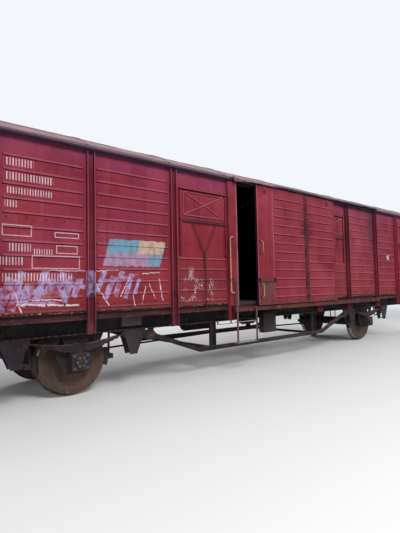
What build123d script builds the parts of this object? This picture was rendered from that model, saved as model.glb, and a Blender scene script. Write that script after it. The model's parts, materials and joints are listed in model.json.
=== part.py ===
from build123d import *
import os
from math import atan2, cos, degrees, hypot, radians, sin, sqrt

# A two-axle covered railway wagon with one sliding door and four ventilation hatches on each side.
# Millimetres. +X runs along the wagon, -Y is the near side, +Z is up.
# The origin is under the middle of the wagon, at the lowest point of the wheel flanges.
# The far side is the near side turned half round about Z, so most pieces are drawn once.

# Track and wheels
FLANGE = 28                      # the rail top is this far above the origin
WHEEL_RADIUS = 500               # on the tread
FLANGE_RADIUS = WHEEL_RADIUS + FLANGE
AXLE_X = 4100                    # half the wheelbase
AXLE_Z = FLANGE_RADIUS
BACK_TO_BACK = 1360
TYRE_WIDTH = 135
JOURNAL_Y = 1000                 # centre of each axlebox and spring
JOURNAL_RADIUS = 60

# Underframe
HALF_FRAME = 6390                # outer face of the headstocks
FRAME_TOP = 1200
FRAME_BOTTOM = 900
SOLEBAR_WEB_Y = 970
SOLEBAR_OUT = 1060
FLOOR_TOP = FLANGE + 1230

# Body
SIDE_IN = 1300                   # half the inside width
WALL = 30
SIDE_OUT = SIDE_IN + WALL
WALL_BOTTOM = FLANGE + 1195
WALL_TOP = FLANGE + 3410
POST_DEPTH = 60
POST_OUT = SIDE_OUT + POST_DEPTH
POST_WIDTH = 110
POST_FOOT = FLANGE + 902
POST_TOP = 3460
POST_STEEL = 8
POSTS_X = (2640, 4060, 5285)
DOORWAY_HALF = 1220
PORTAL_OUTER = 1436              # outer edge of the flat strip beside the doorway

# Pressed ribs of the wall sheets
RIB_PITCH = 177.6
RIB_WIDTH = 38
RIB_RISE = 14
RIB_INSET = 12                   # the sides and ends of a rib slope in by this much
RIB_GAP = 40                     # from a rib's end to the post beside it

# Roof, an arc across the wagon
ROOF_RADIUS = 2257
ROOF_CENTRE_Z = 1728
ROOF_SHEET = 25
ROOF_HALF_WIDTH = 1400
ROOF_HALF_LENGTH = 6425

# Sliding doors
LEAF_HALF = 1340
LEAF_BACK = 1402
LEAF_THICK = 35
LEAF_BOTTOM = FLANGE + 1150
LEAF_TOP = 3455
FLANGE_TOP = 3488                # a thin strip on top of the leaf's outer face hides the rail
NEAR_DOOR_OPEN = 600             # how far the near door stands open
HOOD_LEFT, HOOD_RIGHT = -1344, 3994
RAIL_Y = 1416
RAIL_TOP = 3495

# Ventilation hatches: centre along the wagon, half width of the shutter
HATCHES = ((-5818, 435), (-1978, 502), (1978, 502), (5818, 435))
SHUTTER_BOTTOM = FLANGE + 2640
SHUTTER_TOP = FLANGE + 3130
GUIDE_BOTTOM = FLANGE + 2070
ROD_Y = 1365

# Buffers and draw gear
BUFFER_Y = 875
BUFFER_Z = FLANGE + 1060
BUFFER_LENGTH = 620

BAR_SIDES = 8                    # slim round bars and pins are drawn eight-sided
HALF_TURN = (0, 0, 180)
RISE_NEAR = (180, 0, 0)          # turns a wedge so that it rises from the near side
RISE_END = (0, 0, -90)           # and from the +X end


def side_plane(y):
    """The near side's drawing plane at a distance y from the centre line: X right, Z up, facing out."""
    return Plane(origin=(0, -y, 0), x_dir=(1, 0, 0), z_dir=(0, -1, 0))


def cross_plane(x):
    """A plane across the wagon at x: first coordinate +Y, second +Z, facing +X."""
    return Plane(origin=(x, 0, 0), x_dir=(0, 1, 0), z_dir=(1, 0, 0))


def prism(plane, points, depth):
    """A closed outline on a plane, pulled out along the plane's normal."""
    with BuildPart() as solid:
        with BuildSketch(plane):
            with BuildLine():
                Polyline(*points, close=True)
            make_face()
        extrude(amount=depth)
    return solid.part


def block(x_from, x_to, y_from, y_to, z_from, z_to):
    """A plain rectangular solid between two opposite corners."""
    with BuildPart() as solid:
        with Locations(((x_from + x_to) / 2, (y_from + y_to) / 2, (z_from + z_to) / 2)):
            Box(abs(x_to - x_from), abs(y_to - y_from), abs(z_to - z_from))
    return solid.part


def rod(start, end, radius):
    """A straight eight-sided bar between two points."""
    run = Vector(*end) - Vector(*start)
    with BuildPart() as solid:
        with BuildSketch(Plane(origin=start, z_dir=run)):
            RegularPolygon(radius, BAR_SIDES)
        extrude(amount=run.length)
    return solid.part


def cut_corners(points, cut):
    """The points of a path with each of its corners cut off, a distance from it."""
    path = [Vector(*points[0])]
    for before, corner, after in zip(points, points[1:], points[2:]):
        corner = Vector(*corner)
        path.append(corner + (Vector(*before) - corner).normalized() * cut)
        path.append(corner + (Vector(*after) - corner).normalized() * cut)
    path.append(Vector(*points[-1]))
    return path


def bent_bar(points, bend, radius):
    """An eight-sided bar along straight runs, with its bends as cut corners."""
    path_points = cut_corners(points, bend)
    with BuildPart() as solid:
        with BuildLine():
            Polyline(*path_points)
        with BuildSketch(Plane(origin=path_points[0], z_dir=path_points[1] - path_points[0])):
            RegularPolygon(radius, BAR_SIDES)
        sweep(transition=Transition.RIGHT)
    return solid.part


def pressed_ribs(places, length, turn):
    """Like ribs with sloping sides and ends, their middles at the places; turned to rise from the sheet."""
    top = (RIB_INSET, RIB_INSET, length - RIB_INSET, RIB_WIDTH - RIB_INSET)
    with BuildPart() as ribs:
        with Locations(*places):
            Wedge(length, RIB_RISE, RIB_WIDTH, *top, rotation=turn)
    return ribs.part


def half_turned_pair(*pieces):
    """The pieces as drawn, and again turned half round about the middle of the wagon."""
    with BuildPart() as pair:
        for piece in pieces:
            add(piece)
            add(piece, rotation=HALF_TURN)
    return pair


def both_ways(piece):
    """A piece and its mirror image about the middle of the wagon's length."""
    with BuildPart() as twins:
        add(piece)
        mirror(piece, about=Plane.YZ)
    return twins.part


def roof_height(y, radius=ROOF_RADIUS):
    """Height of the roof arc, or of one inside it, at a distance y from the centre line."""
    return ROOF_CENTRE_Z + sqrt(radius ** 2 - y ** 2)


def roof_band(half_width, outer, inner, x_from, length):
    """A slice of the roof arc between two radii, cut upright at its sides."""
    outer_z, inner_z = roof_height(half_width, outer), roof_height(half_width, inner)
    with BuildPart() as band:
        with BuildSketch(cross_plane(x_from)):
            with BuildLine():
                ThreePointArc((-half_width, outer_z), (0, ROOF_CENTRE_Z + outer), (half_width, outer_z))
                Line((half_width, outer_z), (half_width, inner_z))
                ThreePointArc((half_width, inner_z), (0, ROOF_CENTRE_Z + inner), (-half_width, inner_z))
                Line((-half_width, inner_z), (-half_width, outer_z))
            make_face()
        extrude(amount=length)
    return band.part


# Underframe

def channel(plane_x, length, web_y, lip_y, bottom, top, web=12, flange=14):
    """A channel along X on the near side, its open side facing out."""
    outline = (
        (-web_y, bottom), (-lip_y, bottom), (-lip_y, bottom + flange), (-web_y - web, bottom + flange),
        (-web_y - web, top - flange), (-lip_y, top - flange), (-lip_y, top), (-web_y, top),
    )
    return prism(cross_plane(plane_x), outline, length)


HEADSTOCK_WEB = 12
solebar_length = 2 * (HALF_FRAME - HEADSTOCK_WEB)
solebars = half_turned_pair(
    channel(-solebar_length / 2, solebar_length, SOLEBAR_WEB_Y, SOLEBAR_OUT, FRAME_BOTTOM, FRAME_TOP)
)

HEADSTOCK_HALF = 1290
HEADSTOCK_DEPTH = 80
with BuildPart() as end_channel:
    with BuildSketch(Plane(origin=(0, -HEADSTOCK_HALF, 0), x_dir=(1, 0, 0), z_dir=(0, -1, 0))):
        with BuildLine():
            Polyline(
                (HALF_FRAME, FRAME_BOTTOM), (HALF_FRAME, FRAME_TOP), (HALF_FRAME - HEADSTOCK_DEPTH, FRAME_TOP),
                (HALF_FRAME - HEADSTOCK_DEPTH, FRAME_TOP - 12), (HALF_FRAME - HEADSTOCK_WEB, FRAME_TOP - 12),
                (HALF_FRAME - HEADSTOCK_WEB, FRAME_BOTTOM + 12),
                (HALF_FRAME - HEADSTOCK_DEPTH, FRAME_BOTTOM + 12), (HALF_FRAME - HEADSTOCK_DEPTH, FRAME_BOTTOM),
                close=True,
            )
        make_face()
    extrude(amount=-2 * HEADSTOCK_HALF)
    for side in (-1, 1):
        with Locations((HALF_FRAME - HEADSTOCK_WEB - 50, side * (SOLEBAR_WEB_Y + SOLEBAR_OUT) / 2, 1050)):
            Box(100, SOLEBAR_OUT - SOLEBAR_WEB_Y + 2, 400, mode=Mode.SUBTRACT)
headstocks = half_turned_pair(end_channel.part)

BEARER_BOTTOM = 1070
with BuildPart() as cross_bearers:
    for x in [way * reach for reach in (470, 1408) + POSTS_X for way in (-1, 1)]:
        outline = ((x, FRAME_TOP), (x + 60, FRAME_TOP), (x + 60, FRAME_TOP - 8), (x + 8, FRAME_TOP - 8),
                   (x + 8, BEARER_BOTTOM + 8), (x + 60, BEARER_BOTTOM + 8), (x + 60, BEARER_BOTTOM),
                   (x, BEARER_BOTTOM))
        add(prism(side_plane(-SOLEBAR_WEB_Y), outline, 2 * SOLEBAR_WEB_Y))

SILL_INNER = HALF_FRAME - HEADSTOCK_WEB
centre_sills = half_turned_pair(
    channel(-SILL_INNER, 2 * SILL_INNER, 260, 320, BEARER_BOTTOM - 110, BEARER_BOTTOM, web=8, flange=8)
)

OUTRIGGERS_X = (1408,) + POSTS_X
outrigger_outline = (
    (-SOLEBAR_OUT, 1190), (-SIDE_OUT + 10, 1190), (-SIDE_OUT + 10, 1128), (-SIDE_OUT, 1128),
    (-SIDE_OUT, POST_FOOT + 15), (-SIDE_OUT + 45, POST_FOOT + 15), (-SOLEBAR_OUT, 1020),
)
outriggers = half_turned_pair(
    *[prism(cross_plane(way * x - 6), outrigger_outline, 12) for x in OUTRIGGERS_X for way in (-1, 1)]
)

SILL_BOTTOM = FLANGE + 1100
SILL_TOP = FLANGE + 1167
side_sills = half_turned_pair(
    prism(
        cross_plane(-HALF_FRAME + HEADSTOCK_DEPTH),
        ((-SIDE_OUT, SILL_BOTTOM), (-SIDE_OUT, SILL_TOP), (-SIDE_OUT + 10, SILL_TOP),
         (-SIDE_OUT + 10, FRAME_TOP), (-1230, FRAME_TOP), (-1230, 1190), (-SIDE_OUT + 10, 1190),
         (-SIDE_OUT + 10, SILL_BOTTOM)),
        2 * (HALF_FRAME - HEADSTOCK_DEPTH),
    )
)

END_INNER = HALF_FRAME - WALL
with BuildPart() as floor:
    add(block(-END_INNER, END_INNER, -SIDE_IN, SIDE_IN, FRAME_TOP, FLOOR_TOP))
    for side in (-1, 1):
        add(block(-DOORWAY_HALF, DOORWAY_HALF, side * SIDE_IN, side * SIDE_OUT, FRAME_TOP, FLOOR_TOP))

# Truss under each solebar
TRUSS_Y = 1010
TRUSS_WIDTH = 50
CHORD_BOTTOM = FLANGE + 372
CHORD_HEIGHT = 75
KNEE_X = 1880
TRUSS_GAP = 0.5                  # the bars meet end to end without merging
chord = block(-KNEE_X + TRUSS_GAP, KNEE_X - TRUSS_GAP, -TRUSS_Y, -TRUSS_Y - TRUSS_WIDTH,
              CHORD_BOTTOM, CHORD_BOTTOM + CHORD_HEIGHT)
diagonal = prism(
    side_plane(TRUSS_Y),
    ((-KNEE_X, CHORD_BOTTOM), (-KNEE_X, CHORD_BOTTOM + 80),
     (-3030, FRAME_BOTTOM - 12), (-3250, FRAME_BOTTOM - 12)),
    TRUSS_WIDTH,
)
QUEEN_X, QUEEN_WIDTH = 1500, 130
tie_x = QUEEN_X + QUEEN_WIDTH / 2
tie = block(tie_x - 30, tie_x + 30, -TRUSS_Y + TRUSS_GAP, TRUSS_Y - TRUSS_GAP,
            CHORD_BOTTOM + 10, CHORD_BOTTOM + 60)
gusset_outline = ((-3270, FRAME_BOTTOM - 12), (-2880, FRAME_BOTTOM - 12), (-2760, 760), (-2860, 700), (-3010, 745))
gusset = prism(side_plane(TRUSS_Y + TRUSS_WIDTH), gusset_outline, 8)
truss_bars = half_turned_pair(chord, both_ways(diagonal), both_ways(gusset), tie)
queen_outline = (
    (-QUEEN_X, -TRUSS_Y), (-QUEEN_X, -SOLEBAR_OUT),
    (-QUEEN_X - 10, -SOLEBAR_OUT), (-QUEEN_X - 10, -TRUSS_Y - 10),
    (-QUEEN_X - QUEEN_WIDTH + 10, -TRUSS_Y - 10), (-QUEEN_X - QUEEN_WIDTH + 10, -SOLEBAR_OUT),
    (-QUEEN_X - QUEEN_WIDTH, -SOLEBAR_OUT), (-QUEEN_X - QUEEN_WIDTH, -TRUSS_Y),
)
queen_post = prism(
    Plane.XY.offset(CHORD_BOTTOM + CHORD_HEIGHT), queen_outline, FRAME_BOTTOM - CHORD_BOTTOM - CHORD_HEIGHT
)
queen_posts = half_turned_pair(both_ways(queen_post))

# Running gear

def wheel_half():
    """Half of a wheelset's section, from its middle out along +X of the drawing, to be turned about it."""
    back = BACK_TO_BACK / 2
    front = back + TYRE_WIDTH
    return (
        (0, 0), (0, 80), (back - 15, 80), (back - 15, 137), (back + 25, 140), (back + 45, 300), (back, 430),
        (back, FLANGE_RADIUS - 10), (back + 12, FLANGE_RADIUS), (back + 34, WHEEL_RADIUS + 2),
        (front - 10, WHEEL_RADIUS - 3), (front, WHEEL_RADIUS - 12), (front, 430), (back + 80, 300),
        (back + 75, 148), (back + 165, 135), (back + 165, 80), (900, 80), (900, JOURNAL_RADIUS),
        (1085, JOURNAL_RADIUS), (1085, 0),
    )


def wheelset(x):
    """Axle and two wheels, turned about the axle's centre line."""
    half = wheel_half()
    with BuildPart() as solid:
        with BuildSketch(Plane(origin=(x, 0, AXLE_Z), x_dir=(0, 1, 0), z_dir=(1, 0, 0))):
            with BuildLine():
                Polyline(*half, close=True)
            make_face()
            mirror(about=Plane.YZ)
        revolve(axis=Axis((x, 0, AXLE_Z), (0, 1, 0)))
    return solid


wheelset_a = wheelset(-AXLE_X)
wheelset_b = wheelset(AXLE_X)

BOX_HALF = 130
BOX_RISE = 115
BOX_BACK = 912
with BuildPart() as one_box:
    add(block(-AXLE_X - BOX_HALF, -AXLE_X + BOX_HALF, -945, -1110, AXLE_Z - BOX_RISE, AXLE_Z + BOX_RISE))
    add(block(-AXLE_X - 95, -AXLE_X + 95, -BOX_BACK, -945, AXLE_Z - BOX_RISE, AXLE_Z + BOX_RISE))
    with BuildSketch(side_plane(1110)):
        with Locations((-AXLE_X, AXLE_Z)):
            Circle(85)
    extrude(amount=22)
    with BuildSketch(side_plane(BOX_BACK)):
        with Locations((-AXLE_X, AXLE_Z)):
            Circle(JOURNAL_RADIUS + 1)
    extrude(amount=1090 - BOX_BACK, mode=Mode.SUBTRACT)
axleboxes = half_turned_pair(both_ways(one_box.part))

GUARD_Y = 922
GUARD_STEEL = 12
with BuildPart() as one_guard:
    with BuildSketch(side_plane(GUARD_Y)):
        with BuildLine():
            Polyline(
                (-AXLE_X - 330, 1060), (-AXLE_X + 330, 1060), (-AXLE_X + 430, 900), (-AXLE_X + 200, 400),
                (-AXLE_X + 200, 350), (-AXLE_X - 200, 350), (-AXLE_X - 200, 400), (-AXLE_X - 430, 900),
                close=True,
            )
        make_face()
        with Locations((-AXLE_X, 575)):
            Rectangle(210, 350, mode=Mode.SUBTRACT)
        for side in (-1, 1):
            with Locations((-AXLE_X + side * 225, 800)):
                RegularPolygon(70, 3, rotation=90, mode=Mode.SUBTRACT)
    extrude(amount=GUARD_STEEL)
    add(block(-AXLE_X - 320, -AXLE_X + 320, -GUARD_Y - GUARD_STEEL, -SOLEBAR_WEB_Y, 970, 1050))
axle_guards = half_turned_pair(both_ways(one_guard.part))

# Leaf springs: eight leaves over one another, held together by a buckle on the axlebox
SPRING_HALF = 700
SPRING_WIDTH = 120
LEAF = 12
LEAF_PITCH = 13.5                # a slit shows between two leaves
LEAVES = 8
LEAF_STEP = 78                   # each leaf is this much shorter at each end than the one above
EYE_Z = FLANGE + 832
EYE_RADIUS, EYE_BORE = 27, 16
PACK_BOTTOM = AXLE_Z + BOX_RISE + 12
PACK_TOP = PACK_BOTTOM + LEAVES * LEAF_PITCH
CAMBER = EYE_Z - EYE_RADIUS + LEAF - PACK_TOP
SPRING_ARC = (SPRING_HALF ** 2 + CAMBER ** 2) / (2 * CAMBER)


def leaf_outline(centre, reach, depth):
    """Side view of one leaf: an arc of short runs out to its reach, a depth below the top leaf."""
    stations = [reach * step / 3 for step in range(-3, 4)]

    def height(x, drop):
        return PACK_TOP + SPRING_ARC - sqrt((SPRING_ARC + drop) ** 2 - x ** 2)

    top = [(centre + x, height(x, depth)) for x in stations]
    bottom = [(centre + x, height(x, depth + LEAF)) for x in reversed(stations)]
    return top + bottom


SPRING_FACE = JOURNAL_Y - SPRING_WIDTH / 2
with BuildPart() as one_spring:
    for number in range(LEAVES):
        reach = SPRING_HALF if number == 0 else SPRING_HALF - 10 - number * LEAF_STEP
        add(prism(side_plane(SPRING_FACE), leaf_outline(-AXLE_X, reach, number * LEAF_PITCH), SPRING_WIDTH))
    add(block(-AXLE_X - 60, -AXLE_X + 60, -SPRING_FACE + 2, -SPRING_FACE - SPRING_WIDTH - 2,
              PACK_BOTTOM - 12, PACK_TOP + 14))
    for side in (-1, 1):
        with BuildSketch(side_plane(SPRING_FACE)):
            with Locations((-AXLE_X + side * SPRING_HALF, EYE_Z)):
                RegularPolygon(EYE_RADIUS, 12)
        extrude(amount=SPRING_WIDTH)
    for side in (-1, 1):
        with BuildSketch(side_plane(SPRING_FACE)):
            with Locations((-AXLE_X + side * SPRING_HALF, EYE_Z)):
                RegularPolygon(EYE_BORE, BAR_SIDES)
        extrude(amount=SPRING_WIDTH, mode=Mode.SUBTRACT)
leaf_springs = half_turned_pair(both_ways(one_spring.part))

# Brackets on the solebar, and the pairs of links that slant from their pins up to the spring eyes
PIN_REACH = 860
PIN_Z = FLANGE + 545
with BuildPart() as bracket_pair:
    for side in (-1, 1):
        foot = -AXLE_X + side * PIN_REACH
        for inner in (JOURNAL_Y - 82, JOURNAL_Y + 72):
            with BuildSketch(side_plane(inner)):
                with BuildLine():
                    Polyline(
                        (foot - side * 170, FRAME_BOTTOM), (foot + side * 215, FRAME_BOTTOM),
                        (foot + side * 60, PIN_Z - 40), (foot - side * 60, PIN_Z - 40), close=True,
                    )
                make_face()
            extrude(amount=10)
        add(block(foot - 170 * side, foot + 215 * side, -JOURNAL_Y + 82, -JOURNAL_Y - 82,
                  FRAME_BOTTOM - 12, FRAME_BOTTOM))
        add(rod((foot, -JOURNAL_Y + 82, PIN_Z), (foot, -JOURNAL_Y - 82, PIN_Z), 16))
spring_brackets = half_turned_pair(both_ways(bracket_pair.part))

# Two links in a row at each end of a spring: an outer pair of plates from the eye, then an inner pair
LINK_PLATE = 8
LINK_WIDTH = 48
MIDDLE_X, MIDDLE_Z = (SPRING_HALF + PIN_REACH) / 2, (EYE_Z + PIN_Z) / 2
OUTER_LINKS_Y = (JOURNAL_Y - 70, JOURNAL_Y + 62)
INNER_LINKS_Y = (JOURNAL_Y - 60, JOURNAL_Y + 52)


def link_plate(start, end, hole):
    """Side view of one link: a bar with cut corners between two pins, and perhaps a hole round the second."""
    run = hypot(end[0] - start[0], end[1] - start[1])
    angle = degrees(atan2(end[1] - start[1], end[0] - start[0]))
    half, reach = LINK_WIDTH / 2, run / 2 + LINK_WIDTH / 2
    outline = ((-reach, -half / 2), (-reach + half / 2, -half), (reach - half / 2, -half), (reach, -half / 2),
               (reach, half / 2), (reach - half / 2, half), (-reach + half / 2, half), (-reach, half / 2))
    with BuildSketch() as plate:
        with Locations(Location(((start[0] + end[0]) / 2, (start[1] + end[1]) / 2), angle)):
            Polygon(*outline, align=None)
        if hole:
            with Locations(end):
                RegularPolygon(hole, BAR_SIDES, mode=Mode.SUBTRACT)
    return plate.sketch


with BuildPart() as shackle_set:
    for side in (-1, 1):
        eye = (-AXLE_X + side * SPRING_HALF, EYE_Z)
        middle = (-AXLE_X + side * MIDDLE_X, MIDDLE_Z)
        pin = (-AXLE_X + side * PIN_REACH, PIN_Z)
        for faces, start, end, hole in ((OUTER_LINKS_Y, eye, middle, 0), (INNER_LINKS_Y, middle, pin, 18)):
            outline = link_plate(start, end, hole)
            for face in faces:
                with BuildSketch(side_plane(face)):
                    add(outline)
                extrude(amount=LINK_PLATE)
        for x, z in (eye, middle):
            add(rod((x, -OUTER_LINKS_Y[0] + 2, z), (x, -OUTER_LINKS_Y[1] - LINK_PLATE - 2, z), 14))
shackles = half_turned_pair(both_ways(shackle_set.part))

# Brake gear
BLOCK_INNER = WHEEL_RADIUS + 8
BLOCK_SPREAD = 14
sector_reach = 900
sector_x = sector_reach * cos(radians(BLOCK_SPREAD))
sector_z = sector_reach * sin(radians(BLOCK_SPREAD))
with BuildPart() as block_set:
    for side in (-1, 1):
        with BuildSketch(side_plane(720)):
            with Locations((-AXLE_X, AXLE_Z)):
                Circle(BLOCK_INNER + 60)
                Circle(BLOCK_INNER, mode=Mode.SUBTRACT)
            with BuildLine():
                Polyline((-AXLE_X, AXLE_Z), (-AXLE_X + side * sector_x, AXLE_Z - 40 + sector_z),
                         (-AXLE_X + side * sector_x, AXLE_Z - 40 - sector_z), close=True)
            make_face(mode=Mode.INTERSECT)
        extrude(amount=80)
        back = -AXLE_X + side * (BLOCK_INNER + 58)
        add(block(back, back + side * 45, -740, -780, AXLE_Z - 70, AXLE_Z + 10))
        add(prism(side_plane(750),
                  ((back + side * 10, AXLE_Z - 40), (back + side * 40, AXLE_Z - 40),
                   (back + side * 60, BEARER_BOTTOM + 30), (back + side * 30, BEARER_BOTTOM + 30)), 20))
brake_blocks = half_turned_pair(both_ways(block_set.part))
with BuildPart() as brake_beams:
    for x in (-AXLE_X, AXLE_X):
        for side in (-1, 1):
            back = x + side * (BLOCK_INNER + 58 + 45)
            add(block(back, back + side * 50, -790, 790, AXLE_Z - 65, AXLE_Z + 5))

CYLINDER_X, CYLINDER_Y, CYLINDER_Z = 620, 330, 785
with BuildPart() as brake_cylinder:
    with BuildSketch(cross_plane(CYLINDER_X)):
        with Locations((CYLINDER_Y, CYLINDER_Z)):
            Circle(165)
    extrude(amount=330)
    with BuildSketch(cross_plane(CYLINDER_X - 90)):
        with Locations((CYLINDER_Y, CYLINDER_Z)):
            Circle(95)
    extrude(amount=90)
    for x in (CYLINDER_X + 30, CYLINDER_X + 270):
        add(block(x, x + 12, CYLINDER_Y - 110, CYLINDER_Y + 110, CYLINDER_Z + 100, BEARER_BOTTOM - 110))
with BuildPart() as brake_rods:
    for side in (-1, 1):
        inner, outer = 700 * side, (AXLE_X - BLOCK_INNER - 156) * side
        add(rod((inner, 0, 560), (outer, 0, 500), 17))
    add(block(-715, 715, -12, 12, 530, 590))
PIPE_Y, PIPE_Z = 560, 980
end_cock = bent_bar(
    ((HALF_FRAME, PIPE_Y, PIPE_Z), (HALF_FRAME + 100, PIPE_Y, PIPE_Z),
     (HALF_FRAME + 150, PIPE_Y, PIPE_Z - 70)), 30, 24
)

brake_pipe = half_turned_pair(end_cock)
equipment_boxes = half_turned_pair(block(-330, 40, -SOLEBAR_OUT - 2, -1190, 610, 1010))

# Buffers, hooks and couplings, drawn at the +X end

def turned(points, place):
    """A solid turned about a line along +X through a place, from (distance along, radius) pairs."""
    x, y, z = place
    with BuildPart() as solid:
        with BuildSketch(Plane(origin=place, x_dir=(1, 0, 0), z_dir=(0, -1, 0))):
            with BuildLine():
                Polyline((points[0][0], 0), *points, (points[-1][0], 0), close=True)
            make_face()
        revolve(axis=Axis(place, (1, 0, 0)))
    return solid.part


HEAD_THICK = 40
with BuildPart() as housing_pair:
    for side in (-1, 1):
        place = (HALF_FRAME, side * BUFFER_Y, BUFFER_Z)
        add(block(HALF_FRAME, HALF_FRAME + 22, side * BUFFER_Y - 170, side * BUFFER_Y + 170,
                  BUFFER_Z - 130, BUFFER_Z + 130))
        add(turned(((10, 135), (60, 112), (335, 112), (335, 122), (365, 122)), place))
buffer_housings = half_turned_pair(housing_pair.part)
with BuildPart() as head_pair:
    for side in (-1, 1):
        place = (HALF_FRAME, side * BUFFER_Y, BUFFER_Z)
        add(turned(((365, 88), (BUFFER_LENGTH - HEAD_THICK, 88), (BUFFER_LENGTH - HEAD_THICK, 225),
                    (BUFFER_LENGTH - 15, 225), (BUFFER_LENGTH, 110)), place))
buffer_heads = half_turned_pair(head_pair.part)

with BuildPart() as hook:
    add(block(HALF_FRAME, HALF_FRAME + 18, -150, 150, BUFFER_Z - 110, BUFFER_Z + 110))
    add(block(HALF_FRAME + 18, HALF_FRAME + 150, -32, 32, BUFFER_Z - 32, BUFFER_Z + 32))
    with BuildSketch(Plane(origin=(HALF_FRAME, 27, BUFFER_Z), x_dir=(1, 0, 0), z_dir=(0, -1, 0))):
        with BuildLine():
            Polyline((140, -45), (140, 45), (190, 45), (215, 5), (262, -8), (300, 20), (305, 95), (345, 95),
                     (372, 20), (355, -60), (300, -105), (220, -95), close=True)
        make_face()
    extrude(amount=54)
draw_hooks = half_turned_pair(hook.part)
COUPLING_X = HALF_FRAME + 225
with BuildPart() as coupling:
    for side in (-1, 1):
        add(block(HALF_FRAME + 205, HALF_FRAME + 245, side * 32, side * 56, 800, BUFFER_Z - 20))
    add(bent_bar(((COUPLING_X, -52, 742), (COUPLING_X, -52, 500),
                  (COUPLING_X, 52, 500), (COUPLING_X, 52, 742)), 28, 17))
    for z in (830, 742):
        add(block(COUPLING_X - 26, COUPLING_X + 26, -82, 82, z - 24, z + 24))
    add(rod((COUPLING_X, 0, 700), (COUPLING_X, 0, 900), 19))
screw_couplings = half_turned_pair(coupling.part)

TANK_LENGTH, TANK_RADIUS = 820, 190
TANK_X, TANK_Y, TANK_Z = -1150, 420, 790
with BuildPart() as air_reservoir:
    add(turned(((0, 120), (45, TANK_RADIUS), (TANK_LENGTH - 45, TANK_RADIUS), (TANK_LENGTH, 120)),
               (TANK_X, TANK_Y, TANK_Z)))
    for x in (-1020, -520):
        add(block(x, x + 40, 360, 480, 950, BEARER_BOTTOM))

# Body shell

def rib_rows(top, count):
    """Heights of a column of ribs."""
    return [top - RIB_PITCH * row for row in range(count)]


ROWS_A = rib_rows(FLANGE + 3193, 12)
ROWS_B = rib_rows(FLANGE + 3219, 12)
ROWS_HATCH = rib_rows(FLANGE + 1992, 5)


def wall_sheet(left, right, rib_left, rib_right, rows, hatch=None):
    """One wall sheet of the near side, with its pressed ribs and, for a hatch, an opening."""
    with BuildPart() as sheet:
        with BuildSketch(side_plane(SIDE_IN)):
            with Locations(((left + right) / 2, (WALL_BOTTOM + WALL_TOP) / 2)):
                Rectangle(right - left, WALL_TOP - WALL_BOTTOM)
            if hatch:
                centre, half = hatch
                with Locations((centre, (SHUTTER_BOTTOM + SHUTTER_TOP) / 2)):
                    Rectangle(2 * (half - 40), SHUTTER_TOP - SHUTTER_BOTTOM - 70, mode=Mode.SUBTRACT)
        extrude(amount=WALL)
        middles = [((rib_left + rib_right) / 2, -SIDE_OUT - RIB_RISE / 2, z) for z in rows]
        add(pressed_ribs(middles, rib_right - rib_left, RISE_NEAR))
    return sheet.part


HALF_POST = POST_WIDTH / 2
P_INNER, P_MIDDLE, P_END = POSTS_X
CORNER_LEG = 100
rib_clear = HALF_POST + RIB_GAP
side_panels = half_turned_pair(
    both_ways(wall_sheet(-P_END, -P_MIDDLE, -P_END + rib_clear, -P_MIDDLE - rib_clear, ROWS_A)),
    both_ways(wall_sheet(-P_MIDDLE, -P_INNER, -P_MIDDLE + rib_clear, -P_INNER - rib_clear, ROWS_B)),
)
hatch_panels = half_turned_pair(
    both_ways(wall_sheet(-HALF_FRAME, -P_END, -HALF_FRAME + CORNER_LEG + RIB_GAP, -P_END - rib_clear,
                         ROWS_HATCH, HATCHES[0])),
    both_ways(wall_sheet(-P_INNER, -DOORWAY_HALF, -P_INNER + rib_clear, -PORTAL_OUTER - RIB_GAP,
                         ROWS_HATCH, HATCHES[1])),
)

with BuildPart() as hatch_grilles:
    for centre, half in HATCHES:
        for turn in (0, 180):
            with BuildPart(mode=Mode.PRIVATE) as grille:
                with BuildSketch(side_plane(SIDE_IN + 6)):
                    with Locations((centre, (SHUTTER_BOTTOM + SHUTTER_TOP) / 2)):
                        Rectangle(2 * (half - 40), SHUTTER_TOP - SHUTTER_BOTTOM - 70)
                        with GridLocations(0, 76, 1, 5):
                            Rectangle(2 * (half - 60), 40, mode=Mode.SUBTRACT)
                extrude(amount=6)
            add(grille.part, rotation=(0, 0, turn))


def channel_post(x, width, foot, top):
    """An upright channel on the near side, its web on the sheet and its legs outwards."""
    half = width / 2
    outline = (
        (x - half, -SIDE_OUT), (x + half, -SIDE_OUT), (x + half, -POST_OUT), (x + half - POST_STEEL, -POST_OUT),
        (x + half - POST_STEEL, -SIDE_OUT - POST_STEEL), (x - half + POST_STEEL, -SIDE_OUT - POST_STEEL),
        (x - half + POST_STEEL, -POST_OUT), (x - half, -POST_OUT),
    )
    return prism(Plane.XY.offset(foot), outline, top - foot)


side_posts = half_turned_pair(
    *[both_ways(channel_post(-x, POST_WIDTH, POST_FOOT, POST_TOP)) for x in POSTS_X]
)

PORTAL_INNER = DOORWAY_HALF - 3
portal_outline = (
    (-PORTAL_OUTER, -SIDE_OUT), (-PORTAL_OUTER, -POST_OUT),
    (-PORTAL_INNER, -POST_OUT), (-PORTAL_INNER, -SIDE_OUT),
    (-PORTAL_INNER - POST_STEEL, -SIDE_OUT), (-PORTAL_INNER - POST_STEEL, -POST_OUT + POST_STEEL),
    (-PORTAL_OUTER + POST_STEEL, -POST_OUT + POST_STEEL), (-PORTAL_OUTER + POST_STEEL, -SIDE_OUT),
)
with BuildPart() as portal:
    add(prism(Plane.XY.offset(SILL_TOP), portal_outline, POST_TOP - SILL_TOP))
    add(channel_post(-PORTAL_OUTER + 50, 100, POST_FOOT + 15, SILL_TOP))
door_portals = half_turned_pair(both_ways(portal.part))

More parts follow.
